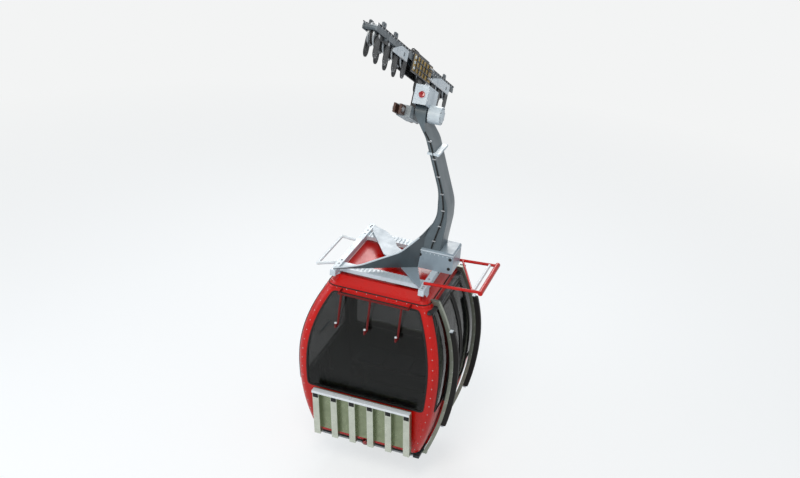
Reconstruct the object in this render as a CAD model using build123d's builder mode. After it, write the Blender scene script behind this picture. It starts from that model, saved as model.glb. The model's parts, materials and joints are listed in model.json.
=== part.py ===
from build123d import *

import math
import os

# A cable car cabin that hangs from a carriage on an inclined track rope.
# Millimetres. X points to the door side, Y down the rope's course, Z up.
# The origin is on the track rope's axis at the middle of the carriage.

# Ropes
rope_slope = 28.3
rope_radius = 20.0
rope_over_roof = 2170.0
haul_drop = 350.0

# Clearances
moving_gap = 6.0
seat_gap = 0.3
seam = 0.4

# Carriage: lengths run along the rope, drops are square to it
wheel_radius = 105.0
wheel_width = 66.0
groove_depth = 20.0
axle_radius = 16.0
wheel_recess = 12.0
hub_radius = 38.0
rim_depth = 16.0
wheel_spacing = 320.0
wheel_gap = 90.0
rocker_plate = 10.0
rocker_depth = 62.0
rocker_rise = 4.0
rocker_pin_radius = 18.0
guard_drop = 98.0
guard_width = 128.0
wheel_end_gap = 12.0
frame_end_wall = 31.0
frame_plate = 12.0
frame_low = 118.0
frame_high = 190.0
frame_end_slope = 60.0
spacer_radius = 22.0
cap_plate = 8.0
lug_places = (-1330.0, -930.0, 1060.0)
lug_length = 110.0
lug_tall = 46.0
lug_corner = 22.0
lug_hole_radius = 12.0
shield_plate = 6.0
shield_low = 60.0
shield_high = 166.0
shield_drop = 76.0
uphill_shield = (-950.0, -450.0)
downhill_shield = (500.0, 1340.0)

# Track-rope brake, amid the carriage
brake_start = -270.0
brake_end = 475.0
brake_low = 14.0
brake_high = 202.0
brake_side = 14.0
brake_frame_wall = 14.0
brake_block_inset = 22.0

# Central bracket and the pivot that the hanger swings on
bracket_start = -40.0
bracket_end = 380.0
bracket_neck_start = 130.0
bracket_neck_end = 300.0
neck_wheel_gap = 15.0
bracket_shoulder = -60.0
bracket_arm_high = -290.0
bracket_low = -405.0
bracket_fork_plate = 24.0
bracket_outer = 98.0
pivot_drop = 354.0
pivot_radius = 45.0

# Haul-rope clevises
clevis_length = 150.0
clevis_width = 84.0
clevis_depth = 92.0
clevis_slot = 40.0
clevis_pin_radius = 16.0
clevis_pin_place = 100.0
clevis_plate = 20.0

# Hanger: edges of its front face as (across, height over the cabin's floor)
hanger_half_depth = 130.0
hanger_head_radius = 110.0
hanger_neck = 130.0
hanger_left_edge = ((109.0, 1950.0), (109.0, 1840.0), (252.0, 1617.0), (438.0, 1060.0), (445.0, 800.0))
hanger_right_edge = ((226.0, 1950.0), (226.0, 1710.0), (330.0, 1560.0), (550.0, 890.0), (552.0, 720.0))
hanger_left_radii = (150.0, 300.0, 500.0)
hanger_right_radii = (150.0, 300.0, 500.0)
hanger_foot_left = 300.0
hanger_foot_right = 515.0
hanger_foot_tall = 264.0
hanger_foot_radii = (320.0, 400.0)

# Head cover on the bracket, pivot drum, rung bracket and hood box
head_right = 236.0
head_start = -57.0
head_end = 330.0
head_low = -262.0
head_high = -66.0
head_wall = 5.0
drum_start = 238.0
drum_end = 365.0
drum_radius = 92.0
rung_drop = 371.0
rung_tall = 24.0
rung_band = 14.0
rung_reach = 46.0
rung_overhang = 30.0
rung_bar_radius = 10.0
hood_left = 255.0
hood_right = 665.0
hood_half_depth = 142.0
hood_tall = 236.0
hood_corner = 14.0

# Cabin body: half widths across X and Y at the bottom, the bulge and the top
body_height = 1900.0
bulge_height = 1060.0
side_bottom = 585.0
side_bulge = 785.0
side_top = 535.0
end_bottom = 570.0
end_bulge = 735.0
end_top = 535.0
corner_radius = 95.0
wall = 40.0
floor_thick = 60.0
roof_edge = 40.0
roof_crown = 62.0
roof_taper = 48.0
end_post = 102.0
side_post = 45.0
sill = 700.0
header = 88.0
window_rim = 16.0
glass_thick = 8.0
glass_set_back = 4.0

# Door
door_half = 325.0
door_header = 118.0
leaf_thick = 22.0
leaf_overlap = 18.0
leaf_low = 40.0
leaf_top_gap = 112.0
leaf_stile = 30.0
leaf_sill = 640.0
leaf_travel = 300.0
tab_thick = 10.0
tab_wide = 60.0
runner_side = 5.0
runner_tall = 12.0
runner_slack = 1.5
slot_slack = 3.0
tab_inset = 40.0
rail_wall = 4.0
rail_tall = 28.0
rail_bracket = 50.0
low_rail_tall = 32.0
low_rail_out = 34.0

# Guard ribs and their rubber
rib_place = 420.0
rib_width = 40.0
rib_stand_off = 36.0
rib_top = 594.0
rib_top_gap = 15.0
rib_depth = 40.0
rib_web_tall = 50.0
rib_foot_thick = 20.0
rib_foot_inner = 480.0
rubber_depth = 54.0
rubber_low = 400.0
rubber_high = 1560.0

# Roof frame
beam_place = 480.0
beam_half_length = 600.0
beam_width = 60.0
beam_rise = 100.0
beam_tall = 66.0
beam_foot_place = 430.0
beam_foot = 60.0
cross_place = 400.0
cross_width = 130.0
cross_tall = 40.0
sheet_thick = 12.0
tube_radius = 16.0
bar_radius = 26.0
rail_radius = 14.0
brace_radius = 11.0
frame_drop = 26.0
right_frame_sink = 3.0

# Curved web of the roof frame: share of the way to the hanger, height and lean at the top
web_shares = (0.0, 0.15, 0.31, 0.42, 0.53, 0.64, 0.755, 0.87, 1.0, 1.15)
web_rises = (14.0, 24.0, 45.0, 88.0, 132.0, 168.0, 205.0, 285.0, 385.0, 540.0)
web_leans = (3.0, 8.0, 16.0, 30.0, 44.0, 50.0, 50.0, 40.0, 20.0, 0.0)

# Brace plate over the roof from corner to corner, as (across, along)
brace_plate = (
    (-470.0, 560.0),
    (-420.0, 430.0),
    (-130.0, -20.0),
    (110.0, -195.0),
    (455.0, -560.0),
    (475.0, -560.0),
    (430.0, -470.0),
    (250.0, -30.0),
    (-60.0, 210.0),
    (-160.0, 380.0),
    (-290.0, 500.0),
    (-450.0, 575.0),
)
brace_thick = 10.0

# Small frame on the left and large frame on the right, as (across, along)
left_frame = ((-500.0, -361.0), (-696.0, -486.0), (-694.0, 210.0), (-500.0, 190.0))
right_frame_inner = 465.0
right_frame_outer = 1066.0
right_frame_near = -465.0
right_frame_far = 165.0
rail_gap = 78.0
right_frame_tilt = 40.0
brace_inner = 690.0
brace_outer = 975.0

# Benches
bench_height = 430.0
bench_thick = 60.0
bench_depth = 340.0
bench_half_width = 520.0
bench_wall_gap = 4.0
bench_leg_place = 400.0
bench_leg = 30.0

# Ski racks and hooks
rack_half_width = 545.0
rack_pitch = 205.0
rack_channels = 6
rack_channel_width = 70.0
rack_channel_depth = 68.0
rack_sheet = 4.0
rack_bottom_out = 650.0
rack_top_out = 780.0
rack_low = 100.0
rack_sheet_low = 45.0
rack_high = 720.0
rack_bar = 24.0
rack_stay_tall = 30.0
rack_stay_width = 80.0
rack_stay_low = 50.0
rack_stay_high = 520.0
rack_stay_reach = 150.0
hook_rod_radius = 10.5
hook_radius = 11.0
hook_stay_radius = 12.0
hook_rod_gap = 55.0
hook_rod_half = 380.0
hook_rod_out = 660.0
hook_places = (-350.0, -30.0, 310.0)
hook_drop = 330.0
hook_reach = 120.0
hook_bend = 50.0

# Worked out from the sizes above
rope_above_floor = body_height + rope_over_roof
floor_z = -rope_above_floor
slope = math.radians(rope_slope)
wheel_drop = wheel_radius - groove_depth + rope_radius
rocker_inner = wheel_width / 2 + moving_gap
rocker_outer = rocker_inner + rocker_plate
frame_inner = rocker_outer + moving_gap
frame_outer = frame_inner + frame_plate
rocker_drop = wheel_drop + rocker_rise
inner_rocker = bracket_neck_end + neck_wheel_gap + wheel_radius + wheel_spacing / 2
outer_rocker = inner_rocker + wheel_spacing + 2 * wheel_radius + wheel_gap
rocker_places = (-outer_rocker, -inner_rocker, inner_rocker, outer_rocker)
end_spacer = outer_rocker + wheel_spacing / 2 + wheel_radius + wheel_end_gap + spacer_radius
frame_half_length = end_spacer + frame_end_wall
pivot_height = rope_above_floor - pivot_drop
lintel = body_height - header
door_lintel = body_height - door_header
leaf_high = body_height - leaf_top_gap
rib_bottom = side_bottom + rib_stand_off
rib_bulge = side_bulge + rib_stand_off
rib_top_height = body_height - rib_top_gap
hook_rod_height = body_height - hook_rod_gap
beam_low = body_height + beam_rise
beam_high = beam_low + beam_tall
rail_half_length = door_half - tab_inset + leaf_travel
frame_height = beam_high - frame_drop
far = 3000.0
rope_plane = Plane(origin=(0, 0, 0), x_dir=(0, math.cos(slope), -math.sin(slope)), z_dir=(1, 0, 0))
across_plane = Plane(origin=(0, 0, floor_z), x_dir=(1, 0, 0), z_dir=(0, -1, 0))
along_plane = Plane(origin=(0, 0, floor_z), x_dir=(0, 1, 0), z_dir=(1, 0, 0))
pivot_along = math.sin(slope) * pivot_drop
pivot_square = -math.cos(slope) * pivot_drop
ENDS = {"uphill": -1, "downhill": 1}


def on_rope(along, drop):
    """A point over the rope's line, from its distance along and square to the rope."""
    return rope_plane.from_local_coords((along, drop, 0))


def level(height):
    """A level plane at a height over the cabin's floor."""
    return Plane.XY.offset(floor_z + height)


def bulge_at(height, bottom, bulge, top):
    """Half width of a barrel outline at a height: two arcs that meet upright at the bulge."""
    end, rise = (bottom, bulge_height) if height < bulge_height else (top, body_height - bulge_height)
    radius = (rise**2 + (bulge - end) ** 2) / (2 * (bulge - end))
    return bulge - radius + math.sqrt(radius**2 - (height - bulge_height) ** 2)


def side_at(height):
    """Half width of the cabin across, at a height."""
    return bulge_at(height, side_bottom, side_bulge, side_top)


def end_at(height):
    """Half width of the cabin along, at a height."""
    return bulge_at(height, end_bottom, end_bulge, end_top)


def barrel_face(bottom, bulge, top, low=0.0, high=body_height):
    """Closed barrel outline, alike on both sides, from one height to another."""
    middle_low = (low + bulge_height) / 2
    middle_high = (high + bulge_height) / 2
    with BuildSketch(mode=Mode.PRIVATE) as face:
        with BuildLine():
            for side in (-1, 1):
                ThreePointArc(
                    (side * bulge_at(low, bottom, bulge, top), low),
                    (side * bulge_at(middle_low, bottom, bulge, top), middle_low),
                    (side * bulge, bulge_height),
                )
                ThreePointArc(
                    (side * bulge, bulge_height),
                    (side * bulge_at(middle_high, bottom, bulge, top), middle_high),
                    (side * bulge_at(high, bottom, bulge, top), high),
                )
            for height in (low, high):
                half = bulge_at(height, bottom, bulge, top)
                Line((-half, height), (half, height))
        make_face()
    return face.sketch


def side_face(inset, low=0.0, high=body_height):
    """The cabin's outline seen from its end, drawn in by an inset."""
    return barrel_face(side_bottom - inset, side_bulge - inset, side_top - inset, low, high)


def end_face(inset, low=0.0, high=body_height):
    """The cabin's outline seen from its side, drawn in by an inset."""
    return barrel_face(end_bottom - inset, end_bulge - inset, end_top - inset, low, high)


def body_solid(inset, low=0.0, high=body_height):
    """The cabin's outer form, drawn in from every wall by an inset."""
    with BuildPart() as solid:
        with BuildSketch(across_plane):
            add(side_face(inset))
        extrude(amount=far, both=True)
        with BuildSketch(along_plane):
            add(end_face(inset))
        extrude(amount=far, both=True, mode=Mode.INTERSECT)
        corners = solid.edges().filter_by(lambda edge: edge.bounding_box().size.Z > corner_radius)
        fillet(corners, radius=corner_radius - inset)
        with BuildSketch(level(low)):
            Rectangle(far, far)
        extrude(amount=high - low, mode=Mode.INTERSECT)
    return solid.part


wall_low = floor_thick
wall_high = body_height - roof_edge
outer_body = body_solid(0)
wall_ring = body_solid(0, wall_low, wall_high) - body_solid(wall)


def prism_across(inset, low, high, start, end):
    """What lies behind an end window's outline, from one place along Y to another."""
    with BuildPart(mode=Mode.PRIVATE) as prism:
        with BuildSketch(across_plane.offset(-start)):
            add(side_face(inset, low, high))
        extrude(amount=-(end - start))
    return prism.part


def prism_along(inset, low, high, start, end):
    """What lies behind a side window's outline, from one place along X to another."""
    with BuildPart(mode=Mode.PRIVATE) as prism:
        with BuildSketch(along_plane.offset(start)):
            add(end_face(inset, low, high))
        extrude(amount=end - start)
    return prism.part


def block(x_range, y_range, height_range):
    """A plain block between pairs of limits, heights counted from the cabin's floor."""
    (x0, x1), (y0, y1), (h0, h1) = x_range, y_range, height_range
    with BuildPart(mode=Mode.PRIVATE) as solid:
        with BuildSketch(level(h0)):
            with Locations(((x0 + x1) / 2, (y0 + y1) / 2)):
                Rectangle(x1 - x0, y1 - y0)
        extrude(amount=h1 - h0)
    return solid.part


os.makedirs("parts", exist_ok=True)


def save(solid, label):
    """Label a finished piece and write its STEP file."""
    solid.label = label
    export_step(solid, f"parts/{label}.step")


# Carriage frame: two long side plates with spacers, rocker pins and lifting lugs
with BuildPart() as carriage_frame:
    for side in (-1, 1):
        with BuildSketch(rope_plane.offset(side * (frame_inner + frame_outer) / 2)):
            with BuildLine():
                Polyline(
                    (-frame_half_length, frame_low),
                    (frame_half_length, frame_low),
                    (frame_half_length, frame_high - frame_end_slope / 2),
                    (frame_half_length - frame_end_slope, frame_high),
                    (-frame_half_length + frame_end_slope, frame_high),
                    (-frame_half_length, frame_high - frame_end_slope / 2),
                    close=True,
                )
            make_face()
            for place in lug_places:
                with Locations((place, frame_high)):
                    RectangleRounded(lug_length, 2 * lug_tall, lug_corner)
                with Locations((place, frame_high + lug_tall / 2)):
                    Circle(lug_hole_radius, mode=Mode.SUBTRACT)
        extrude(amount=frame_plate / 2, both=True)
    spacer_places = [
        -end_spacer,
        (rocker_places[0] + rocker_places[1]) / 2,
        (rocker_places[2] + rocker_places[3]) / 2,
        end_spacer,
    ]
    with BuildSketch(rope_plane):
        with Locations(*[(place, frame_high - 2 * spacer_radius) for place in spacer_places]):
            Circle(spacer_radius)
    extrude(amount=frame_inner, both=True)
    with BuildSketch(rope_plane):
        with Locations(*[(place, rocker_drop) for place in rocker_places]):
            Circle(rocker_pin_radius)
    extrude(amount=frame_outer + cap_plate, both=True)
save(carriage_frame.part, "carriage_frame")

# Shield plates outside the frame, cut out round the rocker pins
with BuildPart() as shield_plates:
    for side in (-1, 1):
        with BuildSketch(rope_plane.offset(side * (frame_outer + shield_plate / 2))):
            for near, away in (uphill_shield, downhill_shield):
                with BuildLine():
                    Polyline(
                        (near, shield_low),
                        (away, shield_low),
                        (away, shield_high),
                        ((near + away) / 2, shield_high),
                        (near, shield_high - shield_drop),
                        close=True,
                    )
                make_face()
            with Locations(*[(place, rocker_drop) for place in rocker_places]):
                Circle(rocker_pin_radius + seat_gap, mode=Mode.SUBTRACT)
        extrude(amount=shield_plate / 2, both=True)
save(shield_plates.part, "shield_plates")

# Rockers: two plates, two axles and rope guards that reach down beside the rope
guard_middle = (rocker_drop - guard_drop) / 2
for number, place in enumerate(rocker_places, start=1):
    with BuildPart() as rocker:
        for side in (-1, 1):
            with BuildSketch(rope_plane.offset(side * (rocker_inner + rocker_plate / 2))):
                with Locations((place, rocker_drop)):
                    SlotOverall(wheel_spacing + rocker_depth, rocker_depth)
                with Locations(*[(place + step * wheel_spacing / 2, guard_middle) for step in (-1, 1)]):
                    SlotOverall(rocker_drop + guard_drop, guard_width, rotation=90)
                with Locations((place, rocker_drop)):
                    Circle(rocker_pin_radius + seat_gap, mode=Mode.SUBTRACT)
            extrude(amount=rocker_plate / 2, both=True)
        with BuildSketch(rope_plane):
            with Locations(*[(place + step * wheel_spacing / 2, wheel_drop) for step in (-1, 1)]):
                Circle(axle_radius)
        extrude(amount=rocker_outer, both=True)
    save(rocker.part, f"rocker_{number}")

# Rope wheels: grooved rim, web and hub, on the rockers' axles
wheel_places = [place + step * wheel_spacing / 2 for place in rocker_places for step in (-1, 1)]
for number, place in enumerate(wheel_places, start=1):
    centre = on_rope(place, wheel_drop)
    half_width = wheel_width / 2
    bore = axle_radius + seat_gap
    with BuildPart() as wheel:
        with BuildSketch(Plane(origin=centre, x_dir=(1, 0, 0), z_dir=(0, -1, 0))):
            with Locations((0, (wheel_radius + bore) / 2)):
                Rectangle(wheel_width, wheel_radius - bore)
            with Locations((0, wheel_drop)):
                Circle(rope_radius, mode=Mode.SUBTRACT)
            web_low = hub_radius
            web_high = wheel_radius - groove_depth - rim_depth
            for side in (-1, 1):
                with Locations((side * (half_width - wheel_recess / 2), (web_low + web_high) / 2)):
                    Rectangle(wheel_recess, web_high - web_low, mode=Mode.SUBTRACT)
        revolve(axis=Axis(centre, (1, 0, 0)))
    save(wheel.part, f"wheel_{number}")

# Track-rope brake: an open frame with the brake block in it
brake_out = frame_outer + brake_side
brake_middle = (brake_low + brake_high) / 2
brake_tall = brake_high - brake_low
brake_centre = (brake_start + brake_end) / 2
brake_length = brake_end - brake_start
cover_centre = (brake_start + bracket_neck_end) / 2
cover_length = bracket_neck_end - brake_start
with BuildPart() as brake_frame:
    for side in (-1, 1):
        with BuildSketch(rope_plane.offset(side * (frame_outer + brake_side / 2))):
            with Locations((brake_centre, brake_middle)):
                Rectangle(brake_length, brake_tall)
                Rectangle(
                    brake_length - 2 * brake_frame_wall,
                    brake_tall - 2 * brake_frame_wall,
                    mode=Mode.SUBTRACT,
                )
        extrude(amount=brake_side / 2, both=True)
    with BuildSketch(rope_plane):
        with Locations((cover_centre, brake_high + brake_frame_wall / 2)):
            Rectangle(cover_length, brake_frame_wall)
    extrude(amount=brake_out, both=True)
save(brake_frame.part, "brake_frame")

with BuildPart() as brake_block:
    with BuildSketch(rope_plane):
        with Locations((cover_centre, (frame_high + brake_high) / 2)):
            Rectangle(cover_length - 2 * brake_block_inset, brake_high - frame_high)
    extrude(amount=frame_outer, both=True)
    for side in (-1, 1):
        with BuildSketch(rope_plane.offset(side * frame_outer)):
            with Locations((brake_centre, brake_middle)):
                Rectangle(brake_length - 2 * brake_frame_wall, brake_tall - 2 * brake_frame_wall)
        extrude(amount=side * brake_side)
save(brake_block.part, "brake_block")

# Central bracket: a bridge between the frame's plates and a strong plate down the door side of the rope
with BuildPart() as pivot_bracket:
    neck_middle = (bracket_neck_start + bracket_neck_end) / 2
    neck_length = bracket_neck_end - bracket_neck_start
    with BuildSketch(rope_plane):
        with Locations((neck_middle, (frame_low + frame_high) / 2)):
            Rectangle(neck_length, frame_high - frame_low)
    extrude(amount=frame_inner, both=True)
    with BuildSketch(rope_plane.offset(frame_inner - bracket_fork_plate)):
        with Locations((neck_middle, (frame_high + bracket_arm_high) / 2)):
            Rectangle(neck_length, frame_high - bracket_arm_high)
    extrude(amount=bracket_fork_plate)
    with BuildSketch(rope_plane.offset(frame_inner)):
        with Locations((neck_middle, (bracket_shoulder + bracket_arm_high) / 2)):
            Rectangle(neck_length, bracket_shoulder - bracket_arm_high)
    extrude(amount=bracket_outer - frame_inner)
save(pivot_bracket.part, "pivot_bracket")

# Haul arm under the bracket, with the pivot shaft on its door side
with BuildPart() as haul_arm:
    arm_middle = (bracket_start + bracket_end) / 2
    with BuildSketch(rope_plane.offset(-clevis_width / 2)):
        with Locations((arm_middle, (bracket_arm_high + bracket_low) / 2)):
            Rectangle(bracket_end - bracket_start, bracket_arm_high - bracket_low)
    extrude(amount=clevis_width / 2 + bracket_outer)
    with BuildSketch(rope_plane.offset(bracket_outer)):
        with Locations((pivot_along, pivot_square)):
            Circle(pivot_radius)
    extrude(amount=drum_end - bracket_outer)
save(haul_arm.part, "haul_arm")

# Haul-rope clevises: a forked end with a cross pin, uphill and downhill of the bracket
for name, way in ENDS.items():
    root = bracket_start if way < 0 else bracket_end
    with BuildPart() as clevis:
        with BuildSketch(rope_plane):
            with Locations((root + way * clevis_length / 2, -haul_drop)):
                Rectangle(clevis_length, clevis_depth)
        extrude(amount=clevis_width / 2, both=True)
        with BuildSketch(rope_plane):
            with Locations((root + way * (clevis_plate + clevis_length / 2), -haul_drop)):
                Rectangle(clevis_length, clevis_depth)
        extrude(amount=clevis_slot / 2, both=True, mode=Mode.SUBTRACT)
        with BuildSketch(rope_plane):
            with Locations((root + way * clevis_pin_place, -haul_drop)):
                Circle(clevis_pin_radius)
        extrude(amount=clevis_width, both=True, mode=Mode.SUBTRACT)
    save(clevis.part, f"haul_clevis_{name}")

# Hanger: a box arm that curves out to the door side and back to the roof frame
foot_height = beam_high + hanger_foot_tall
left_points = [(across, body_height + rise) for across, rise in hanger_left_edge]
left_points.append((hanger_foot_left, foot_height))
right_points = [(across, body_height + rise) for across, rise in hanger_right_edge]
right_points.append((hanger_foot_right, foot_height))
with BuildPart() as hanger:
    with BuildSketch(across_plane):
        with BuildLine():
            left = FilletPolyline(*left_points, radius=(*hanger_left_radii, hanger_foot_radii[0]))
            right = FilletPolyline(*right_points, radius=(*hanger_right_radii, hanger_foot_radii[1]))
            Polyline(left @ 1, (hanger_foot_left, beam_high), (hanger_foot_right, beam_high), right @ 1)
            Line(left @ 0, right @ 0)
        make_face()
    extrude(amount=hanger_half_depth, both=True)
    with BuildSketch(along_plane):
        with Locations((0, pivot_height)):
            Circle(hanger_head_radius)
        with BuildLine():
            Polyline(
                (-hanger_head_radius, pivot_height),
                (hanger_head_radius, pivot_height),
                (hanger_half_depth, pivot_height - hanger_neck),
                (hanger_half_depth, beam_high),
                (-hanger_half_depth, beam_high),
                (-hanger_half_depth, pivot_height - hanger_neck),
                close=True,
            )
        make_face()
    extrude(amount=far, mode=Mode.INTERSECT)
    with BuildSketch(along_plane):
        with Locations((0, pivot_height)):
            Circle(pivot_radius + seat_gap)
    extrude(amount=far, mode=Mode.SUBTRACT)
save(hanger.part, "hanger")

# Head cover: a box in line with the rope, open below, over the hanger's head
head_middle = (head_start + head_end) / 2
head_centre = (head_low + head_high) / 2
with BuildPart() as head_cover:
    with BuildSketch(rope_plane.offset(bracket_outer)):
        with Locations((head_middle, head_centre)):
            Rectangle(head_end - head_start, head_high - head_low)
    extrude(amount=head_right - bracket_outer)
    with BuildSketch(rope_plane.offset(bracket_outer + head_wall)):
        with Locations((head_middle, head_centre - head_wall)):
            Rectangle(head_end - head_start - 2 * head_wall, head_high - head_low)
    extrude(amount=head_right - bracket_outer - 2 * head_wall, mode=Mode.SUBTRACT)
save(head_cover.part, "head_cover")

# Pivot drum: the cap on the end of the pivot shaft
with BuildPart() as pivot_drum:
    with BuildSketch(rope_plane.offset(drum_start)):
        with Locations((pivot_along, pivot_square)):
            Circle(drum_radius)
            Circle(pivot_radius + seat_gap, mode=Mode.SUBTRACT)
    extrude(amount=drum_end - drum_start)
save(pivot_drum.part, "pivot_drum")

# Hood box over the hanger's foot
with BuildPart() as hood_box:
    with BuildSketch(across_plane):
        with Locations(((hood_left + hood_right) / 2, beam_high + hood_tall / 2)):
            RectangleRounded(hood_right - hood_left, hood_tall, hood_corner)
    extrude(amount=hood_half_depth, both=True)
    add(hanger.part, mode=Mode.SUBTRACT)
save(hood_box.part, "hood_box")

# Roof: slab over the walls with a shallow crown
with BuildPart() as roof:
    add(body_solid(0, wall_high, body_height))
    with BuildSketch(level(body_height)):
        RectangleRounded(2 * side_top, 2 * end_top, corner_radius)
    extrude(amount=roof_crown, taper=roof_taper)
save(roof.part, "roof")

# Floor
with BuildPart() as floor:
    add(body_solid(0, 0, wall_low))
save(floor.part, "floor")

# Corner posts, between the end walls' and the side walls' panels
with BuildPart() as corner_posts:
    add(wall_ring)
    add(prism_across(end_post, 0, body_height, -far, far), mode=Mode.SUBTRACT)
    add(prism_along(side_post, 0, body_height, -far, far), mode=Mode.SUBTRACT)
save(corner_posts.part, "corner_posts")

# End walls: a lower panel and header in one frame round the end window
end_inset = end_post + seam
end_window = end_inset + window_rim
side_inset = side_post + seam
side_window = side_inset + window_rim
for name, way in ENDS.items():
    start, end = sorted((0, way * far))
    with BuildPart() as end_wall:
        add(wall_ring)
        add(prism_across(end_inset, 0, body_height, start, end), mode=Mode.INTERSECT)
        add(prism_across(end_window, sill, lintel, start, end), mode=Mode.SUBTRACT)
    save(end_wall.part, f"end_wall_{name}")

# Left side wall, with one window
with BuildPart() as side_wall:
    add(wall_ring)
    add(prism_along(side_inset, 0, body_height, -far, 0), mode=Mode.INTERSECT)
    add(prism_along(side_window, sill, lintel, -far, 0), mode=Mode.SUBTRACT)
save(side_wall.part, "side_wall")

# Door side wall: narrow windows beside the doorway
with BuildPart() as door_wall:
    add(wall_ring)
    add(prism_along(side_inset, 0, body_height, 0, far), mode=Mode.INTERSECT)
    with BuildPart(mode=Mode.SUBTRACT) as narrow_windows:
        add(prism_along(side_window, sill, lintel, 0, far))
        add(
            block((0, far), (-door_half - window_rim, door_half + window_rim), (0, body_height)),
            mode=Mode.SUBTRACT,
        )
    add(block((0, far), (-door_half, door_half), (0, door_lintel)), mode=Mode.SUBTRACT)
save(door_wall.part, "door_wall")

# Fixed glass, a thin skin of the body's form behind each opening
glass_skin = body_solid(glass_set_back) - body_solid(glass_set_back + glass_thick)
glass_low = sill + seat_gap
glass_high = lintel - seat_gap
end_glass = end_window + seat_gap
side_glass = side_window + seat_gap
with BuildPart() as cabin_glass:
    add(prism_across(end_glass, glass_low, glass_high, -far, far) & glass_skin)
    add(prism_along(side_glass, glass_low, glass_high, -far, 0) & glass_skin)
    add(
        (prism_along(side_glass, glass_low, glass_high, 0, far) & glass_skin)
        - block(
            (0, far),
            (-door_half - window_rim - seat_gap, door_half + window_rim + seat_gap),
            (0, body_height),
        )
    )
save(cabin_glass.part, "cabin_glass")

# Door rails over and under the leaves
leaf_top_x = side_at(leaf_high) + moving_gap
rail_middle = leaf_top_x + tab_thick / 2
rail_half_width = tab_thick / 2 + runner_side + runner_slack + rail_wall
slot_half_width = tab_thick / 2 + slot_slack
rail_low = leaf_high + moving_gap
runner_low = rail_low + rail_wall + seat_gap
with BuildPart() as door_rails:
    add(
        block(
            (rail_middle - rail_bracket, rail_middle + rail_half_width),
            (-rail_half_length, rail_half_length),
            (rail_low, rail_low + rail_tall),
        )
    )
    add(
        block(
            (rail_middle - rail_half_width + rail_wall, rail_middle + rail_half_width - rail_wall),
            (-far, far),
            (rail_low + rail_wall, rail_low + rail_tall - rail_wall),
        ),
        mode=Mode.SUBTRACT,
    )
    add(
        block(
            (rail_middle - slot_half_width, rail_middle + slot_half_width),
            (-far, far),
            (0, rail_low + rail_tall - rail_wall),
        ),
        mode=Mode.SUBTRACT,
    )
    add(
        block(
            (side_bottom - low_rail_out, side_bottom + low_rail_out),
            (-rail_half_length, rail_half_length),
            (0, low_rail_tall),
        )
    )
    add(outer_body, mode=Mode.SUBTRACT)
save(door_rails.part, "door_rails")

# Door leaves, which slide along the outside of the side wall
for name, way in ENDS.items():
    near, away = way * moving_gap / 2, way * (door_half + leaf_overlap)
    y_range = tuple(sorted((near, away)))
    window_range = tuple(sorted((near + way * leaf_stile, away - way * leaf_stile)))
    tab_near = near + way * tab_inset
    with BuildPart() as leaf_skin:
        with BuildSketch(across_plane):
            add(side_face(-moving_gap - leaf_thick, leaf_low, leaf_high))
        extrude(amount=far, both=True)
        with BuildSketch(across_plane):
            add(side_face(-moving_gap))
        extrude(amount=far, both=True, mode=Mode.SUBTRACT)
    with BuildPart() as leaf:
        add(leaf_skin.part & block((0, far), y_range, (leaf_low, leaf_high)))
        add(
            block((0, far), window_range, (leaf_sill, leaf_high - leaf_stile)),
            mode=Mode.SUBTRACT,
        )
        for place in (tab_near, tab_near + way * (door_half - tab_wide - 2 * tab_inset)):
            add(
                block(
                    (leaf_top_x, leaf_top_x + tab_thick),
                    tuple(sorted((place, place + way * tab_wide))),
                    (leaf_high - seat_gap, runner_low + runner_tall),
                )
            )
            add(
                block(
                    (leaf_top_x - runner_side, leaf_top_x + tab_thick + runner_side),
                    tuple(sorted((place, place + way * tab_wide))),
                    (runner_low, runner_low + runner_tall),
                )
            )
    save(leaf.part, f"door_leaf_{name}")
    with BuildPart() as pane_skin:
        with BuildSketch(across_plane):
            add(side_face(-moving_gap - leaf_thick + glass_set_back))
        extrude(amount=far, both=True)
        with BuildSketch(across_plane):
            add(side_face(-moving_gap - leaf_thick + glass_set_back + glass_thick))
        extrude(amount=far, both=True, mode=Mode.SUBTRACT)
    pane_range = (window_range[0] + seat_gap, window_range[1] - seat_gap)
    with BuildPart() as door_glass:
        add(
            pane_skin.part
            & block((0, far), pane_range, (leaf_sill + seat_gap, leaf_high - leaf_stile - seat_gap))
        )
    save(door_glass.part, f"door_glass_{name}")


def rib_edge(height, out):
    """Half width of a guard rib's edge at a height."""
    end, end_height = (rib_bottom, 0.0) if height < bulge_height else (rib_top, rib_top_height)
    rise = abs(end_height - bulge_height)
    radius = (rise**2 + (rib_bulge - end) ** 2) / (2 * (rib_bulge - end))
    return out + rib_bulge - radius + math.sqrt(radius**2 - (height - bulge_height) ** 2)


def rib_band(inner, outer, low, high):
    """A band beside the rib's inner edge, between two distances out from it and two heights."""
    lower_middle, upper_middle = (low + bulge_height) / 2, (high + bulge_height) / 2
    with BuildSketch(mode=Mode.PRIVATE) as band:
        with BuildLine():
            for out in (inner, outer):
                ThreePointArc(
                    (rib_edge(low, out), low),
                    (rib_edge(lower_middle, out), lower_middle),
                    (rib_bulge + out, bulge_height),
                )
                ThreePointArc(
                    (rib_bulge + out, bulge_height),
                    (rib_edge(upper_middle, out), upper_middle),
                    (rib_edge(high, out), high),
                )
            for height in (low, high):
                Line((rib_edge(height, inner), height), (rib_edge(height, outer), height))
        make_face()
    return band.sketch


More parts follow.
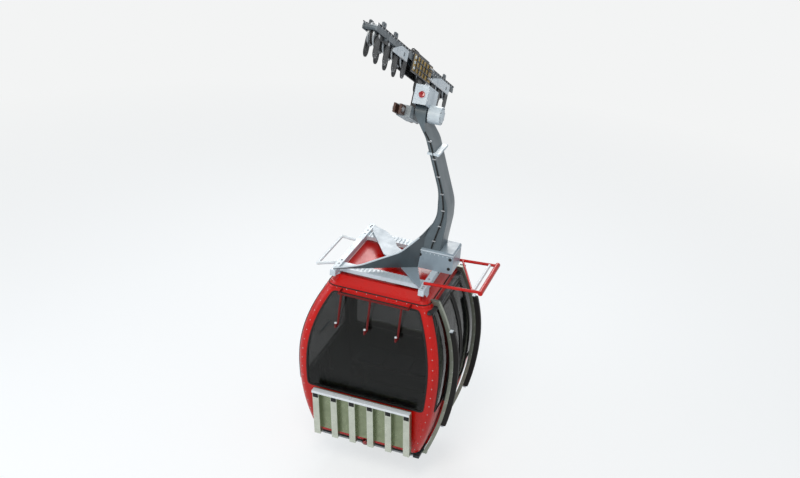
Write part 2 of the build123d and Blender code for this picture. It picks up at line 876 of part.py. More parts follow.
# Guard ribs: fins that stand off the door side, footed under the floor and at the roof's edge
with BuildPart() as guard_ribs:
    for way in ENDS.values():
        with BuildSketch(across_plane.offset(-way * rib_place)):
            add(rib_band(0, rib_depth, 0, rib_top_height))
            with BuildLine():
                Polyline(
                    (rib_edge(0, rib_depth), 0),
                    (rib_edge(0, rib_depth), -rib_foot_thick),
                    (rib_foot_inner, -rib_foot_thick),
                    (rib_foot_inner, 0),
                    close=True,
                )
            make_face()
            web_low = rib_top_height - rib_web_tall
            with BuildLine():
                Polyline(
                    (side_at(rib_top_height) - wall / 2, rib_top_height),
                    (rib_edge(rib_top_height, rib_depth), rib_top_height),
                    (rib_edge(web_low, rib_depth), web_low),
                    (side_at(web_low) - wall / 2, web_low),
                    close=True,
                )
            make_face()
        extrude(amount=rib_width / 2, both=True)
    add(outer_body, mode=Mode.SUBTRACT)
    add(
        block(
            (0, rail_middle + rail_half_width),
            (-far, far),
            (rail_low, rail_low + rail_tall),
        ),
        mode=Mode.SUBTRACT,
    )
save(guard_ribs.part, "guard_ribs")

with BuildPart() as guard_rubbers:
    for way in ENDS.values():
        with BuildSketch(across_plane.offset(-way * rib_place)):
            add(rib_band(rib_depth, rib_depth + rubber_depth, rubber_low, rubber_high))
        extrude(amount=rib_width / 2, both=True)
save(guard_rubbers.part, "guard_rubbers")

# Roof beams, on feet over the crown's edge
roof_beams = []
for name, way in {"left": -1, "right": 1}.items():
    with BuildPart() as roof_beam:
        with BuildSketch(level(beam_low)):
            with Locations((way * beam_place, 0)):
                Rectangle(beam_width, 2 * beam_half_length)
        extrude(amount=beam_high - beam_low)
        with BuildSketch(level(body_height)):
            with Locations(*[(way * beam_place, end * beam_foot_place) for end in ENDS.values()]):
                Rectangle(beam_foot, beam_foot)
        extrude(amount=beam_low - body_height)
        add(roof.part, mode=Mode.SUBTRACT)
    roof_beams.append(roof_beam)
    save(roof_beam.part, f"roof_beam_{name}")

# Cross plates from beam to beam
with BuildPart() as cross_plates:
    with BuildSketch(level(beam_low)):
        with Locations(*[(0, end * cross_place) for end in ENDS.values()]):
            Rectangle(2 * beam_place - beam_width, cross_width)
    extrude(amount=cross_tall)
save(cross_plates.part, "cross_plates")

# Brace plate from corner to corner, flush with the beams' tops
with BuildPart() as roof_brace:
    with BuildSketch(level(beam_high - brace_thick)):
        with BuildLine():
            Polyline(*brace_plate, close=True)
        make_face()
    extrude(amount=brace_thick)
    for roof_beam in roof_beams:
        add(roof_beam.part, mode=Mode.SUBTRACT)
save(roof_brace.part, "roof_brace")

# Curved web, which rises from the roof frame's near corner to the hanger and leans out
web_start = Vector(-beam_place, -beam_half_length + beam_width / 2, floor_z + beam_high)
web_run = Vector(hanger_foot_left, -hanger_half_depth, floor_z + beam_high) - web_start
web_out = Vector(web_run.Y, -web_run.X, 0).normalized()
web_half = web_out * (sheet_thick / 2)
web_outlines = []
for share, rise, lean in zip(web_shares, web_rises, web_leans):
    foot = web_start + web_run * share
    head = foot + Vector(0, 0, rise) + web_out * lean
    corners = [foot - web_half, foot + web_half, head + web_half, head - web_half]
    web_outlines.append(Wire.make_polygon(corners))
with BuildPart() as roof_web:
    add(Solid.make_loft(web_outlines, ruled=True))
    for neighbour in (hood_box, hanger):
        add(neighbour.part, mode=Mode.SUBTRACT)
save(roof_web.part, "roof_web")


def tube(points, radius):
    """A round tube along straight runs, with a ball at each corner."""
    with BuildPart(mode=Mode.PRIVATE) as solid:
        for first, second in zip(points, points[1:]):
            run = Vector(*second) - Vector(*first)
            with BuildSketch(Plane(origin=first, z_dir=run)):
                Circle(radius)
            extrude(amount=run.length)
        for corner in points[1:-1]:
            with Locations(corner):
                Sphere(radius)
    return solid.part


tube_z = floor_z + frame_height
beam_face = beam_place + beam_width / 2
right_z = floor_z + beam_high + tube_radius - right_frame_sink


def on_frame(across, along):
    """A point on the large frame, which rises outward from the beam."""
    share = (across - right_frame_inner) / (right_frame_outer - right_frame_inner)
    return (across, along, right_z + share * right_frame_tilt)


# Small frame on the left
with BuildPart() as side_frame_left:
    add(tube([(x, y, tube_z) for x, y in left_frame], tube_radius))
    with BuildSketch(Plane.YZ.offset(-beam_face)):
        Rectangle(2 * far, 2 * far)
    extrude(amount=far, mode=Mode.SUBTRACT)
save(side_frame_left.part, "side_frame_left")

# Large frame on the right: two arms, an inner rail, a brace and a thick outer bar
with BuildPart() as side_frame_right:
    for y in (right_frame_near, right_frame_far):
        add(tube([on_frame(right_frame_inner, y), on_frame(right_frame_outer, y)], tube_radius))
    inner_rail = right_frame_outer - rail_gap
    add(tube([on_frame(inner_rail, right_frame_near), on_frame(inner_rail, right_frame_far)], rail_radius))
    add(tube([on_frame(brace_inner, right_frame_far), on_frame(brace_outer, right_frame_near)], brace_radius))
    bar_near, bar_far = right_frame_near - bar_radius, right_frame_far + bar_radius
    add(tube([on_frame(right_frame_outer, bar_near), on_frame(right_frame_outer, bar_far)], bar_radius))
    add(roof_beams[1].part, mode=Mode.SUBTRACT)
save(side_frame_right.part, "side_frame_right")

# Rung: a band round the hanger with a looped bar on the door side
rung_height = pivot_height - rung_drop
rung_slice = hanger.part & block((-far, far), (-far, far), (rung_height, rung_height + rung_tall))
rung_left = rung_slice.bounding_box().min.X - rung_band
rung_right = rung_slice.bounding_box().max.X + rung_reach
with BuildPart() as rung_bracket:
    loop_end = hanger_half_depth + rung_overhang
    add(
        block(
            (rung_left, rung_right),
            (-hanger_half_depth - rung_band, hanger_half_depth + rung_band),
            (rung_height, rung_height + rung_tall),
        )
    )
    add(hanger.part, mode=Mode.SUBTRACT)
    add(
        tube(
            [
                (rung_right - rung_bar_radius, way * loop_end, floor_z + rung_height + rung_tall / 2)
                for way in ENDS.values()
            ],
            rung_bar_radius,
        )
    )
save(rung_bracket.part, "rung_bracket")

# Benches along both ends
for name, way in ENDS.items():
    back = end_at(bench_height - bench_thick) - wall - bench_wall_gap
    with BuildPart() as bench:
        with BuildSketch(level(bench_height - bench_thick)):
            with Locations((0, way * (back - bench_depth / 2))):
                Rectangle(2 * bench_half_width, bench_depth)
        extrude(amount=bench_thick)
        with BuildSketch(level(floor_thick)):
            with Locations(*[(side * bench_leg_place, way * (back - bench_depth / 2)) for side in (-1, 1)]):
                Rectangle(bench_leg, bench_depth / 2)
        extrude(amount=bench_height - bench_thick - floor_thick)
    save(bench.part, f"bench_{name}")

# Ski racks: a folded sheet with outward channels, its top plate and bar, and the rails that carry it
rack_lean = math.atan2(rack_top_out - rack_bottom_out, rack_high - rack_low)
rack_length = math.hypot(rack_top_out - rack_bottom_out, rack_high - rack_low)
rack_plane = Plane(
    origin=(0, -rack_bottom_out, floor_z + rack_low),
    x_dir=(1, 0, 0),
    z_dir=(0, -math.sin(rack_lean), math.cos(rack_lean)),
)
channels = [
    ((index - (rack_channels - 1) / 2) * rack_pitch, -rack_channel_depth / 2 - rack_sheet / 2)
    for index in range(rack_channels)
]
channel_insides = [(x, -rack_channel_depth / 2 + rack_sheet) for x, _ in channels]
with BuildPart() as ski_rack:
    with BuildSketch(rack_plane):
        with Locations(*channels):
            Rectangle(rack_channel_width, rack_channel_depth)
        with Locations(*channel_insides):
            Rectangle(rack_channel_width - 2 * rack_sheet, rack_channel_depth, mode=Mode.SUBTRACT)
    extrude(amount=rack_length)
    with BuildSketch(rack_plane.offset(rack_sheet_low)):
        with Locations((0, -rack_sheet / 2)):
            Rectangle(2 * rack_half_width, rack_sheet)
        with Locations(*channel_insides):
            Rectangle(rack_channel_width - 2 * rack_sheet, rack_channel_depth, mode=Mode.SUBTRACT)
    extrude(amount=rack_length - rack_sheet_low)
    for rise in (rack_stay_low, rack_stay_high):
        with BuildSketch(rack_plane.offset(rise)):
            with Locations(*[(x + rack_pitch / 2, rack_stay_reach / 2) for x, _ in channels[:-1]]):
                Rectangle(rack_stay_width, rack_stay_reach)
        extrude(amount=rack_stay_tall)
    top_out = rack_top_out + rack_channel_depth
    add(
        block(
            (-rack_half_width, rack_half_width),
            (-top_out - rack_bar / 2, -top_out + rack_bar / 2),
            (rack_high - rack_bar, rack_high),
        )
    )
    add(
        block(
            (-rack_half_width, rack_half_width),
            (-top_out, -rack_top_out),
            (rack_high - rack_sheet, rack_high),
        )
    )
    add(outer_body, mode=Mode.SUBTRACT)
save(ski_rack.part, "ski_rack_uphill")
save(mirror(ski_rack.part, about=Plane.XZ), "ski_rack_downhill")

# Ski hooks: a rod under the roof's edge with three hanging hooks
rod_y = -hook_rod_out
with BuildPart() as ski_hooks:
    rod_z = floor_z + hook_rod_height
    add(tube([(-hook_rod_half, rod_y, rod_z), (hook_rod_half, rod_y, rod_z)], hook_rod_radius))
    for x in (-hook_rod_half, hook_rod_half):
        add(tube([(x, rod_y, rod_z), (x, -end_top + wall, rod_z)], hook_stay_radius))
    for x in hook_places:
        tip_y = rod_y - hook_reach
        add(
            tube(
                [
                    (x, rod_y, rod_z),
                    (x, rod_y - hook_bend, rod_z - hook_drop),
                    (x, tip_y, rod_z - hook_drop),
                    (x, tip_y, rod_z - hook_drop + hook_bend),
                ],
                hook_radius,
            )
        )
    add(outer_body, mode=Mode.SUBTRACT)
save(ski_hooks.part, "ski_hooks_uphill")
save(mirror(ski_hooks.part, about=Plane.XZ), "ski_hooks_downhill")
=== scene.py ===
"""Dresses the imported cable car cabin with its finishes, glazing rubbers, fasteners and small fittings.

Sizes and places are in millimetres, in the row frame, until a piece's mesh is made.
"""

from __future__ import annotations

import json
import logging
import math
from collections.abc import Iterable, Mapping, Sequence
from dataclasses import dataclass, replace
from enum import Enum

import bpy
import numpy as np
from mathutils import Matrix, Vector


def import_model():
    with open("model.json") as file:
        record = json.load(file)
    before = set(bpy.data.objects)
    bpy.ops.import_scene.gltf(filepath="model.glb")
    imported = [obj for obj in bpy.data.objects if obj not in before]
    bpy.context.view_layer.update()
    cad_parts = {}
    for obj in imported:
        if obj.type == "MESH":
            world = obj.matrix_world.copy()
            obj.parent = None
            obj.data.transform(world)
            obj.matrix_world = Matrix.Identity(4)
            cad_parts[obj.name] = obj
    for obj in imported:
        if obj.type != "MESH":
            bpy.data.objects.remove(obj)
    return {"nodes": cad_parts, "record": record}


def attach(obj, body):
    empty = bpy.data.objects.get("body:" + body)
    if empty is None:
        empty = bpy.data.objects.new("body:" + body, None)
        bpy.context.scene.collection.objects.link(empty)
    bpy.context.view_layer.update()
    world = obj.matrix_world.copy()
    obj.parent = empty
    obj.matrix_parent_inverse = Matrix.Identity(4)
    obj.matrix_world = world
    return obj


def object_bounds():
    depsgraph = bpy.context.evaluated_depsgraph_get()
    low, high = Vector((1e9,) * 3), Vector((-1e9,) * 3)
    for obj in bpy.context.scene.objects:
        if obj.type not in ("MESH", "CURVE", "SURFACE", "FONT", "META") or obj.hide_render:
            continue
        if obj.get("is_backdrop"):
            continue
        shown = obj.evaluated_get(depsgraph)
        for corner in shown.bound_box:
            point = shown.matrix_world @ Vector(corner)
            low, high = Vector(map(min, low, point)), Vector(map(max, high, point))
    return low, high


LOG = logging.getLogger("cabin")
MM = 0.001
Array = np.ndarray
Place = Sequence[float]
# A turned shape's (radius, height) pairs
Profile = Sequence[tuple[float, float]]
# A rounded section's width, depth and corner radius
Section = tuple[float, float, float]
# A bolt head's corner radius and height
Head = tuple[float, float]
Tree = bpy.types.NodeTree
Socket = bpy.types.NodeSocket

ROPE_SLOPE = math.radians(28.3)
FLOOR_Z = -4070.0
SIDES = (-1, 1)
ENDS = {"uphill": -1, "downhill": 1}


class Body(Enum):
    """The bodies that whole sub-assemblies ride on; doors, rockers and wheels are named by end or number."""

    CARRIAGE = "carriage"
    CABIN = "cabin"


class Slot(Enum):
    """The record's material slots."""

    DARK_STEEL = "dark_steel"
    ROCKER_STEEL = "rocker_steel"
    WHEEL_GREY = "wheel_grey"
    BRAKE_YELLOW = "brake_yellow"
    CLEVIS_BROWN = "clevis_brown"
    HAUL_GREY = "haul_grey"
    HANGER_GREY = "hanger_grey"
    SILVER_PAINT = "silver_paint"
    CABIN_RED = "cabin_red"
    FLOOR_ALUMINIUM = "floor_aluminium"
    ALUMINIUM = "aluminium"
    BLACK_RUBBER = "black_rubber"
    TINTED_GLASS = "tinted_glass"
    BENCH_GREY = "bench_grey"


# Materials


def linear(code: str) -> tuple[float, float, float, float]:
    """Turn an sRGB hex value into a linear colour.

    Args:
        code: A hash and six hex digits.

    Returns:
        Red, green and blue as linear light, and full alpha.
    """
    channels = [int(code[i : i + 2], 16) / 255 for i in (1, 3, 5)]
    red, green, blue = (c / 12.92 if c <= 0.04045 else ((c + 0.055) / 1.055) ** 2.4 for c in channels)
    return (red, green, blue, 1.0)


def new_tree(block: bpy.types.Material | bpy.types.World) -> Tree:
    """Give a new material or world an empty node tree.

    Args:
        block: The material or world.

    Returns:
        Its node tree.
    """
    block.use_nodes = True
    block.node_tree.nodes.clear()
    return block.node_tree


def add_node(
    tree: Tree,
    kind: str,
    settings: Mapping[str | int, object] | None = None,
    links: Mapping[str | int, Socket] | None = None,
) -> bpy.types.NodeOutputs:
    """Add one shader node.

    Args:
        tree: The node tree that gets the node.
        kind: The node's type name, without its ShaderNode prefix.
        settings: Property names, or input names or numbers, with their values.
        links: Input names or numbers, with the sockets that feed them.

    Returns:
        The node's outputs.
    """
    node = tree.nodes.new(f"ShaderNode{kind}")
    for key, value in (settings or {}).items():
        if isinstance(key, int) or key in node.inputs:
            node.inputs[key].default_value = value
        else:
            setattr(node, key, value)
    for key, socket in (links or {}).items():
        tree.links.new(socket, node.inputs[key])
    return node.outputs


@dataclass(frozen=True)
class Tone:
    """A second colour of a finish, with its dirt and the zone that it covers.

    Attributes:
        colour: The second colour.
        dirt_colour: Its dirt's colour.
        place: The zone's limit.
        across: With a direction n, the zone is where n . (|x|, |y|, |z|) > place; without one, it is the
            faces that point to (0, 0, place), as a lining does.
    """

    colour: str
    dirt_colour: str
    place: float
    across: tuple[float, float, float] | None = None

    def mask(self, tree: Tree) -> Socket:
        """Work out the zone from Object coordinates.

        Args:
            tree: The material's node tree.

        Returns:
            A value that is 1 in the zone and 0 outside it.
        """
        surface = add_node(tree, "TexCoord")
        limit = self.place * MM
        if self.across is None:
            settings = {"operation": "SUBTRACT", 1: (0.0, 0.0, limit)}
            offset = add_node(tree, "VectorMath", settings, {0: surface["Object"]})[0]
            links = {0: offset, 1: surface["Normal"]}
            facing = add_node(tree, "VectorMath", {"operation": "DOT_PRODUCT"}, links)["Value"]
            return add_node(tree, "Math", {"operation": "LESS_THAN", 1: 0.0}, {0: facing})[0]
        mirrored = add_node(tree, "VectorMath", {"operation": "ABSOLUTE"}, {0: surface["Object"]})[0]
        settings = {"operation": "DOT_PRODUCT", 1: self.across}
        measure = add_node(tree, "VectorMath", settings, {0: mirrored})["Value"]
        return add_node(tree, "Math", {"operation": "GREATER_THAN", 1: limit}, {0: measure})[0]


@dataclass(frozen=True)
class Finish:
    """A surface finish: a base colour that dirt varies, a gloss that wear varies, and a fine relief."""

    name: str
    colour: str
    dirt_colour: str
    metallic: float = 0.0
    roughness: float = 0.4
    roughness_swing: float = 0.12
    specular: float = 0.5
    coat: float = 0.0
    coat_roughness: float = 0.06
    dirt_share: float = 0.35
    dirt_size: float = 120.0
    dirt_band: tuple[float, float] = (0.42, 0.78)
    wear_band: tuple[float, float] = (0.3, 0.7)
    streak: float = 1.0
    grain_size: float = 2.5
    grain_relief: float = 0.05
    grain_stretch: tuple[float, float, float] = (1.0, 1.0, 1.0)
    tones: tuple[Tone, ...] = ()

    def build(self) -> bpy.types.Material:
        """Build the node material.

        Returns:
            A material whose patterns read Object coordinates.
        """
        material = bpy.data.materials.new(self.name)
        tree = new_tree(material)
        place = add_node(tree, "TexCoord")["Object"]
        streaked = add_node(tree, "Mapping", {"Scale": (1.0, 1.0, 1 / self.streak)}, {"Vector": place})[0]
        settings = {"Scale": 1 / (self.dirt_size * MM), "Detail": 6.0, "Roughness": 0.62}
        dirt = add_node(tree, "TexNoise", settings, {"Vector": streaked})["Fac"]
        settings = {1: self.dirt_band[0], 2: self.dirt_band[1], 3: 0.0, 4: self.dirt_share}
        share = add_node(tree, "MapRange", settings, {0: dirt})[0]
        colour: Socket | None = None
        for tone in (self, *self.tones):
            settings = {"data_type": "RGBA", 6: linear(tone.colour), 7: linear(tone.dirt_colour)}
            soiled = add_node(tree, "Mix", settings, {0: share})[2]
            if colour is not None:
                links = {0: tone.mask(tree), 6: colour, 7: soiled}
                soiled = add_node(tree, "Mix", {"data_type": "RGBA"}, links)[2]
            colour = soiled
        glossy = max(self.roughness - self.roughness_swing, 0.03)
        dull = min(self.roughness + self.roughness_swing, 1.0)
        settings = {1: self.wear_band[0], 2: self.wear_band[1], 3: glossy, 4: dull}
        gloss = add_node(tree, "MapRange", settings, {0: dirt})[0]
        stretched = add_node(tree, "Mapping", {"Scale": self.grain_stretch}, {"Vector": place})[0]
        settings = {"Scale": 1 / (self.grain_size * MM), "Detail": 2.0}
        grain = add_node(tree, "TexNoise", settings, {"Vector": stretched})["Fac"]
        settings = {"Strength": self.grain_relief, "Distance": 1 * MM}
        relief = add_node(tree, "Bump", settings, {"Height": grain})["Normal"]
        settings = {
            "Metallic": self.metallic,
            "Coat Weight": self.coat,
            "Coat Roughness": self.coat_roughness,
            "Specular IOR Level": self.specular,
        }
        links = {"Base Color": colour, "Roughness": gloss, "Normal": relief}
        shader = add_node(tree, "BsdfPrincipled", settings, links)[0]
        add_node(tree, "OutputMaterial", None, {"Surface": shader})
        return material


@dataclass(frozen=True)
class TintedAcrylic:
    """Smoke-tinted acrylic glazing: a clear dark sheet with a faint haze of fine scratches."""

    name: str
    tint: str
    cover: float = 0.58
    roughness: float = 0.03
    haze: float = 0.05
    scratch_size: float = 60.0

    def build(self) -> bpy.types.Material:
        """Build the glazing material.

        Returns:
            A see-through material with a glossy face.
        """
        material = bpy.data.materials.new(self.name)
        tree = new_tree(material)
        place = add_node(tree, "TexCoord")["Object"]
        settings = {"Scale": 1 / (self.scratch_size * MM), "Detail": 8.0, "Roughness": 0.7}
        scratches = add_node(tree, "TexNoise", settings, {"Vector": place})["Fac"]
        settings = {1: 0.4, 2: 0.8, 3: self.roughness, 4: self.roughness + self.haze}
        gloss = add_node(tree, "MapRange", settings, {0: scratches})[0]
        settings = {
            "Base Color": linear(self.tint),
            "Alpha": self.cover,
            "IOR": 1.49,
            "Specular IOR Level": 0.35,
        }
        shader = add_node(tree, "BsdfPrincipled", settings, {"Roughness": gloss})[0]
        add_node(tree, "OutputMaterial", None, {"Surface": shader})
        return material


# Dark grey lining sheet inside the cabin's walls and roof, and the door leaves' black window frames
LINING = Tone("#26292C", "#151618", FLOOR_Z + 950)
DARK_FRAMES = Tone("#121313", "#1C1D1D", FLOOR_Z + 650, (0.0, 0.0, -1.0))
# Ochre side plates over the rope brake's dark inside
OCHRE_SIDES = Tone("#B8922C", "#3A2A0E", 72, (1.0, 0.0, 0.0))
# Painted shade: a darker metal colour between and beside the ski racks' channels, behind the leaning plane of
# their faces, where the bays lie in shade
RACK_LEAN = math.atan2(130, 620)
RACK_RECESS_SHADE = Tone("#8B9579", "#5F6850", -1508, (0.0, -math.cos(RACK_LEAN), -math.sin(RACK_LEAN)))
# Lines along a section, as drawing leaves them
DRAWN = (1.0, 1.0, 0.04)

# Gloss two-coat lacquer on moulded panels: a deep even red with clear highlights
LACQUER = Finish("cabin_lacquer", "#C00E05", "#800D06", roughness=0.3, coat=0.12, dirt_size=260, streak=2.5,
                 grain_size=9, grain_relief=0.015, specular=0.25)
FINISHES = (
    LACQUER,
    # The same lacquer on the lined walls, posts and roof
    replace(LACQUER, name="shell_lacquer", tones=(LINING,)),
    # The same lacquer on the door leaves, with their window frames sprayed black above the panel
    replace(LACQUER, name="leaf_lacquer", colour="#B40D05", dirt_colour="#760C06", roughness=0.32,
            dirt_share=0.3, tones=(LINING, DARK_FRAMES)),
    # Slate-grey machine enamel on welded plate, a little dulled by weather
    Finish("slate_enamel", "#556269", "#384145", roughness=0.42, coat=0.15, streak=3, dirt_size=180),
    # Dark red oxide enamel on the ski hooks, dull and chipped
    Finish("oxide_enamel", "#6C0D0B", "#330A08", roughness=0.42, specular=0.25, dirt_share=0.6, dirt_size=40),
    # White enamel on the small frame's tube
    Finish("white_enamel", "#DDE4E8", "#A3A9AC", roughness=0.34, coat=0.2, dirt_size=60),
    # Pale blue-grey enamel on the brace plate and the hood box
    Finish("sky_enamel", "#8D9DA8", "#65727A", roughness=0.36, coat=0.2, streak=1.5),
    # Slate enamel on the curved web, painted darker than the hanger's as shade where the web faces down,
    # streaked in bands where rain runs off
    Finish("storm_enamel", "#49545A", "#2C3235", roughness=0.44, coat=0.1, streak=3, dirt_size=160),
    # Weathered grey enamel on the carriage's frame plates, oily in patches
    Finish("weathered_enamel", "#56626A", "#1D2021", roughness=0.46, dirt_share=0.9, dirt_size=110,
           grain_relief=0.1),
    # Bright drawn aluminium on the ski racks' top rails
    Finish("bright_aluminium", "#E4E9EC", "#B4B9BB", metallic=0.2, roughness=0.3, dirt_share=0.25,
           dirt_size=140, grain_relief=0.01),
    # Grey-green anodised aluminium on the guard ribs
    Finish("anodised_ribs", "#8C9286", "#5A5F54", metallic=0.75, roughness=0.36, grain_size=1.2,
           grain_stretch=DRAWN, grain_relief=0.06),
    # Paler grey enamel on the haul arm, chalky with age
    Finish("pale_enamel", "#8D979C", "#565D61", roughness=0.5, streak=2, dirt_size=90),
    # Zinc-plated fasteners and rods, bright with dull patches
    Finish("bright_zinc", "#B4B8BC", "#6E6F70", metallic=0.9, roughness=0.32, dirt_share=0.6, dirt_size=30,
           grain_size=0.8),
    # Moulded red lens over a lamp or reflector, glossy with a fine prism relief
    Finish("red_lens", "#9C0C14", "#5E070C", roughness=0.12, coat=0.6, dirt_share=0.2, grain_size=3,
           grain_relief=0.3),
    # Woven seat cloth, charcoal with a fine weave
    Finish("woven_cushion", "#34383D", "#232528", roughness=0.85, grain_size=1.2, grain_relief=0.5,
           specular=0.2),
    # Light silver-grey enamel on sheet covers
    Finish("silver_enamel", "#C6D2DA", "#8D979C", roughness=0.36, coat=0.2, streak=2.5),
    # Blackened, oiled steel plate of the running gear
    Finish("oiled_steel", "#232528", "#131211", metallic=0.3, roughness=0.46, dirt_share=0.8, dirt_size=70,
           grain_relief=0.12),
    # Rocker plates in worn graphite paint, dark with oil marks
    Finish("worn_graphite", "#33373A", "#151413", metallic=0.45, roughness=0.5, dirt_share=0.8, dirt_size=50,
           grain_relief=0.15),
    # Turned cast iron, bright where the rope runs
    Finish("turned_iron", "#A2A8AC", "#2E2C2A", metallic=0.8, roughness=0.38, dirt_share=0.7, dirt_size=40),
    # Rope brake: a dark oiled inside, and side plates in ochre enamel that oil has stained
    Finish("ochre_enamel", "#1E1C19", "#121110", roughness=0.45, dirt_share=0.95, dirt_size=48,
           tones=(OCHRE_SIDES,)),
    # Red-brown primer on the haul-rope fittings
    Finish("primer_brown", "#47291C", "#1B120E", roughness=0.55, dirt_share=0.7, dirt_size=40),
    # Mill-finish aluminium section, with drawn lines along it
    Finish("drawn_aluminium", "#C0C6B9", "#868C7E", metallic=0.85, roughness=0.3, grain_size=1.2,
           grain_stretch=DRAWN, grain_relief=0.08),
    # The same sections on the ski racks, with painted shade darkening the bays between the channels
    Finish("rack_aluminium", "#C6CBBE", "#949A8B", metallic=0.8, roughness=0.32, grain_size=1.2,
           grain_stretch=DRAWN, grain_relief=0.06, tones=(RACK_RECESS_SHADE,)),
    # Aluminium sheet on the floor
    Finish("tread_aluminium", "#8D9194", "#4B4C4C", metallic=0.85, roughness=0.42),
    # Moulded black rubber, matt with a bloom
    Finish("moulded_rubber", "#141414", "#2B2B2A", roughness=0.72, dirt_share=0.5, grain_relief=0.12,
           specular=0.35),
    # Textured grey seat moulding
    Finish("seat_moulding", "#2E3033", "#1E1F20", roughness=0.55, grain_size=1.5, grain_relief=0.25),
    TintedAcrylic("tinted_acrylic", "#0C0F0D"),
)

SLOT_FINISHES = {
    Slot.DARK_STEEL: "oiled_steel",
    Slot.ROCKER_STEEL: "worn_graphite",
    Slot.WHEEL_GREY: "turned_iron",
    Slot.BRAKE_YELLOW: "ochre_enamel",
    Slot.CLEVIS_BROWN: "primer_brown",
    Slot.HAUL_GREY: "pale_enamel",
    Slot.HANGER_GREY: "slate_enamel",
    Slot.SILVER_PAINT: "silver_enamel",
    Slot.CABIN_RED: "cabin_lacquer",
    Slot.FLOOR_ALUMINIUM: "tread_aluminium",
    Slot.ALUMINIUM: "drawn_aluminium",
    Slot.BLACK_RUBBER: "moulded_rubber",
    Slot.TINTED_GLASS: "tinted_acrylic",
    Slot.BENCH_GREY: "seat_moulding",
}
SHELL_NODES = ("roof", "corner_posts", "end_wall_uphill", "end_wall_downhill", "side_wall", "door_wall")
NODE_FINISHES = {
    "carriage_frame": "weathered_enamel",
    "roof_web": "storm_enamel",
    "roof_brace": "sky_enamel",
    "hood_box": "sky_enamel",
    "side_frame_left": "white_enamel",
    "guard_ribs": "anodised_ribs",
    "door_rails": "worn_graphite",
    **dict.fromkeys(SHELL_NODES, "shell_lacquer"),
    **{f"door_leaf_{end}": "leaf_lacquer" for end in ENDS},
    **{f"ski_rack_{end}": "rack_aluminium" for end in ENDS},
    **{f"ski_hooks_{end}": "oxide_enamel" for end in ENDS},
}


# Shapes


@dataclass(frozen=True)
class Skin:
    """One closed skin: rows of points, each row a closed ring.

    Attributes:
        rings: Array of rows by ring points by three.
        looped: True where the last row joins the first; otherwise both ends are capped.
    """

    rings: Array
    looped: bool = False

    def faces(self) -> list[Array]:
        """List the faces, turned outward by the sign of their volume, the sum of a . (b x c).

        Returns:
            The sides' corners by number, and the caps' where it has caps.
        """
        rows, columns = self.rings.shape[:2]
        index = np.arange(rows * columns).reshape(rows, columns)
        closed = np.vstack([index, index[:1]]) if self.looped else index
        a, b = closed[:-1], closed[1:]
        sides = np.stack([a, np.roll(a, -1, axis=1), np.roll(b, -1, axis=1), b], axis=2).reshape(-1, 4)
        groups = [sides] if self.looped else [sides, np.stack([index[0][::-1], index[-1]])]
        points = self.rings.reshape(-1, 3) - self.rings.mean(axis=(0, 1))
        volume = 0.0
        for group in groups:
            fan = np.cross(points[group[:, 1:-1]], points[group[:, 2:]])
            volume += np.einsum("ij,ikj->", points[group[:, 0]], fan)
        turn = 1 if volume > 0 else -1
        return [group[:, ::turn] for group in groups]


def unit(vectors: Array) -> Array:
    """Scale vectors, with X, Y and Z on the last axis, to length one."""
    return vectors / np.linalg.norm(vectors, axis=-1, keepdims=True)


def square_axes(along: Array) -> Array:
    """Find two directions, as rows, square to a third of length one and to each other."""
    first = unit(np.cross(along, np.eye(3)[np.argmin(np.abs(along))]))
    return np.stack([first, np.cross(along, first)])


def sweep(path: Array, section: Array, outward: Place | Array | None = None, looped: bool = False) -> Skin:
    """Carry a closed section along a path.

    Row i is p_i + a * s_i + b * n_i, where p is the path, t its direction, n the outward vector made
    square to t, s = t x n, and (a, b) the section's points.

    Args:
        path: Points along the path.
        section: Closed outline as (sideways, outward) pairs.
        outward: One outward vector a point, or one for all; if None, the axis that the path follows least.
        looped: True where the path closes on itself.

    Returns:
        The swept skin.
    """
    step = np.roll(path, -1, axis=0) - np.roll(path, 1, axis=0) if looped else np.gradient(path, axis=0)
    run = unit(step)
    if outward is None:
        outward = np.eye(3)[np.argmin(np.abs(run).mean(axis=0))]
    normal = unit(outward - (outward * run).sum(axis=1, keepdims=True) * run)
    side = np.cross(run, normal)
    sideways, out = section.T[:, None, :, None]
    return Skin(path[:, None] + sideways * side[:, None] + out * normal[:, None], looped)


def circle(radius: float, count: int = 12) -> Array:
    """A round section: (r cos a, r sin a) for equal steps of a."""
    angle = np.arange(count) * 2 * np.pi / count
    return radius * np.column_stack([np.cos(angle), np.sin(angle)])


def quarters(count: int) -> tuple[Array, Array]:
    """The four corners of a rounded rectangle: each corner's signs, and (cos a, sin a) along its quarter.

    Args:
        count: Points a corner.

    Returns:
        The signs and the directions, once round.
    """
    turn = np.linspace(0, np.pi / 2, count)
    angle = np.concatenate([turn + k * np.pi / 2 for k in range(4)])
    signs = np.repeat([(1, 1), (-1, 1), (-1, -1), (1, -1)], count, axis=0)
    return signs, np.column_stack([np.cos(angle), np.sin(angle)])


def rounded(width: float, depth: float, corner: float) -> Array:
    """A section with rounded corners: a quarter circle about each inner corner."""
    signs, away = quarters(3)
    return signs * np.array([width / 2 - corner, depth / 2 - corner]) + corner * away


def turned(place: Place, axis: Place, profile: Profile, count: int = 20) -> Skin:
    """Turn a profile about an axis: c + h a + r (u cos t + v sin t), with u and v square to the axis.

    Args:
        place: The profile's zero point.
        axis: The axis's direction.
        profile: (radius, height) pairs from one end to the other.
        count: Points a ring; six give a hexagon.

    Returns:
        The turned skin.
    """
    along = unit(np.asarray(axis, float))
    ring = circle(1, count) @ square_axes(along)
    radius, height = np.maximum(profile, (0.01, -np.inf)).T[:, :, None, None]
    return Skin(np.asarray(place, float) + radius * ring + height * along)


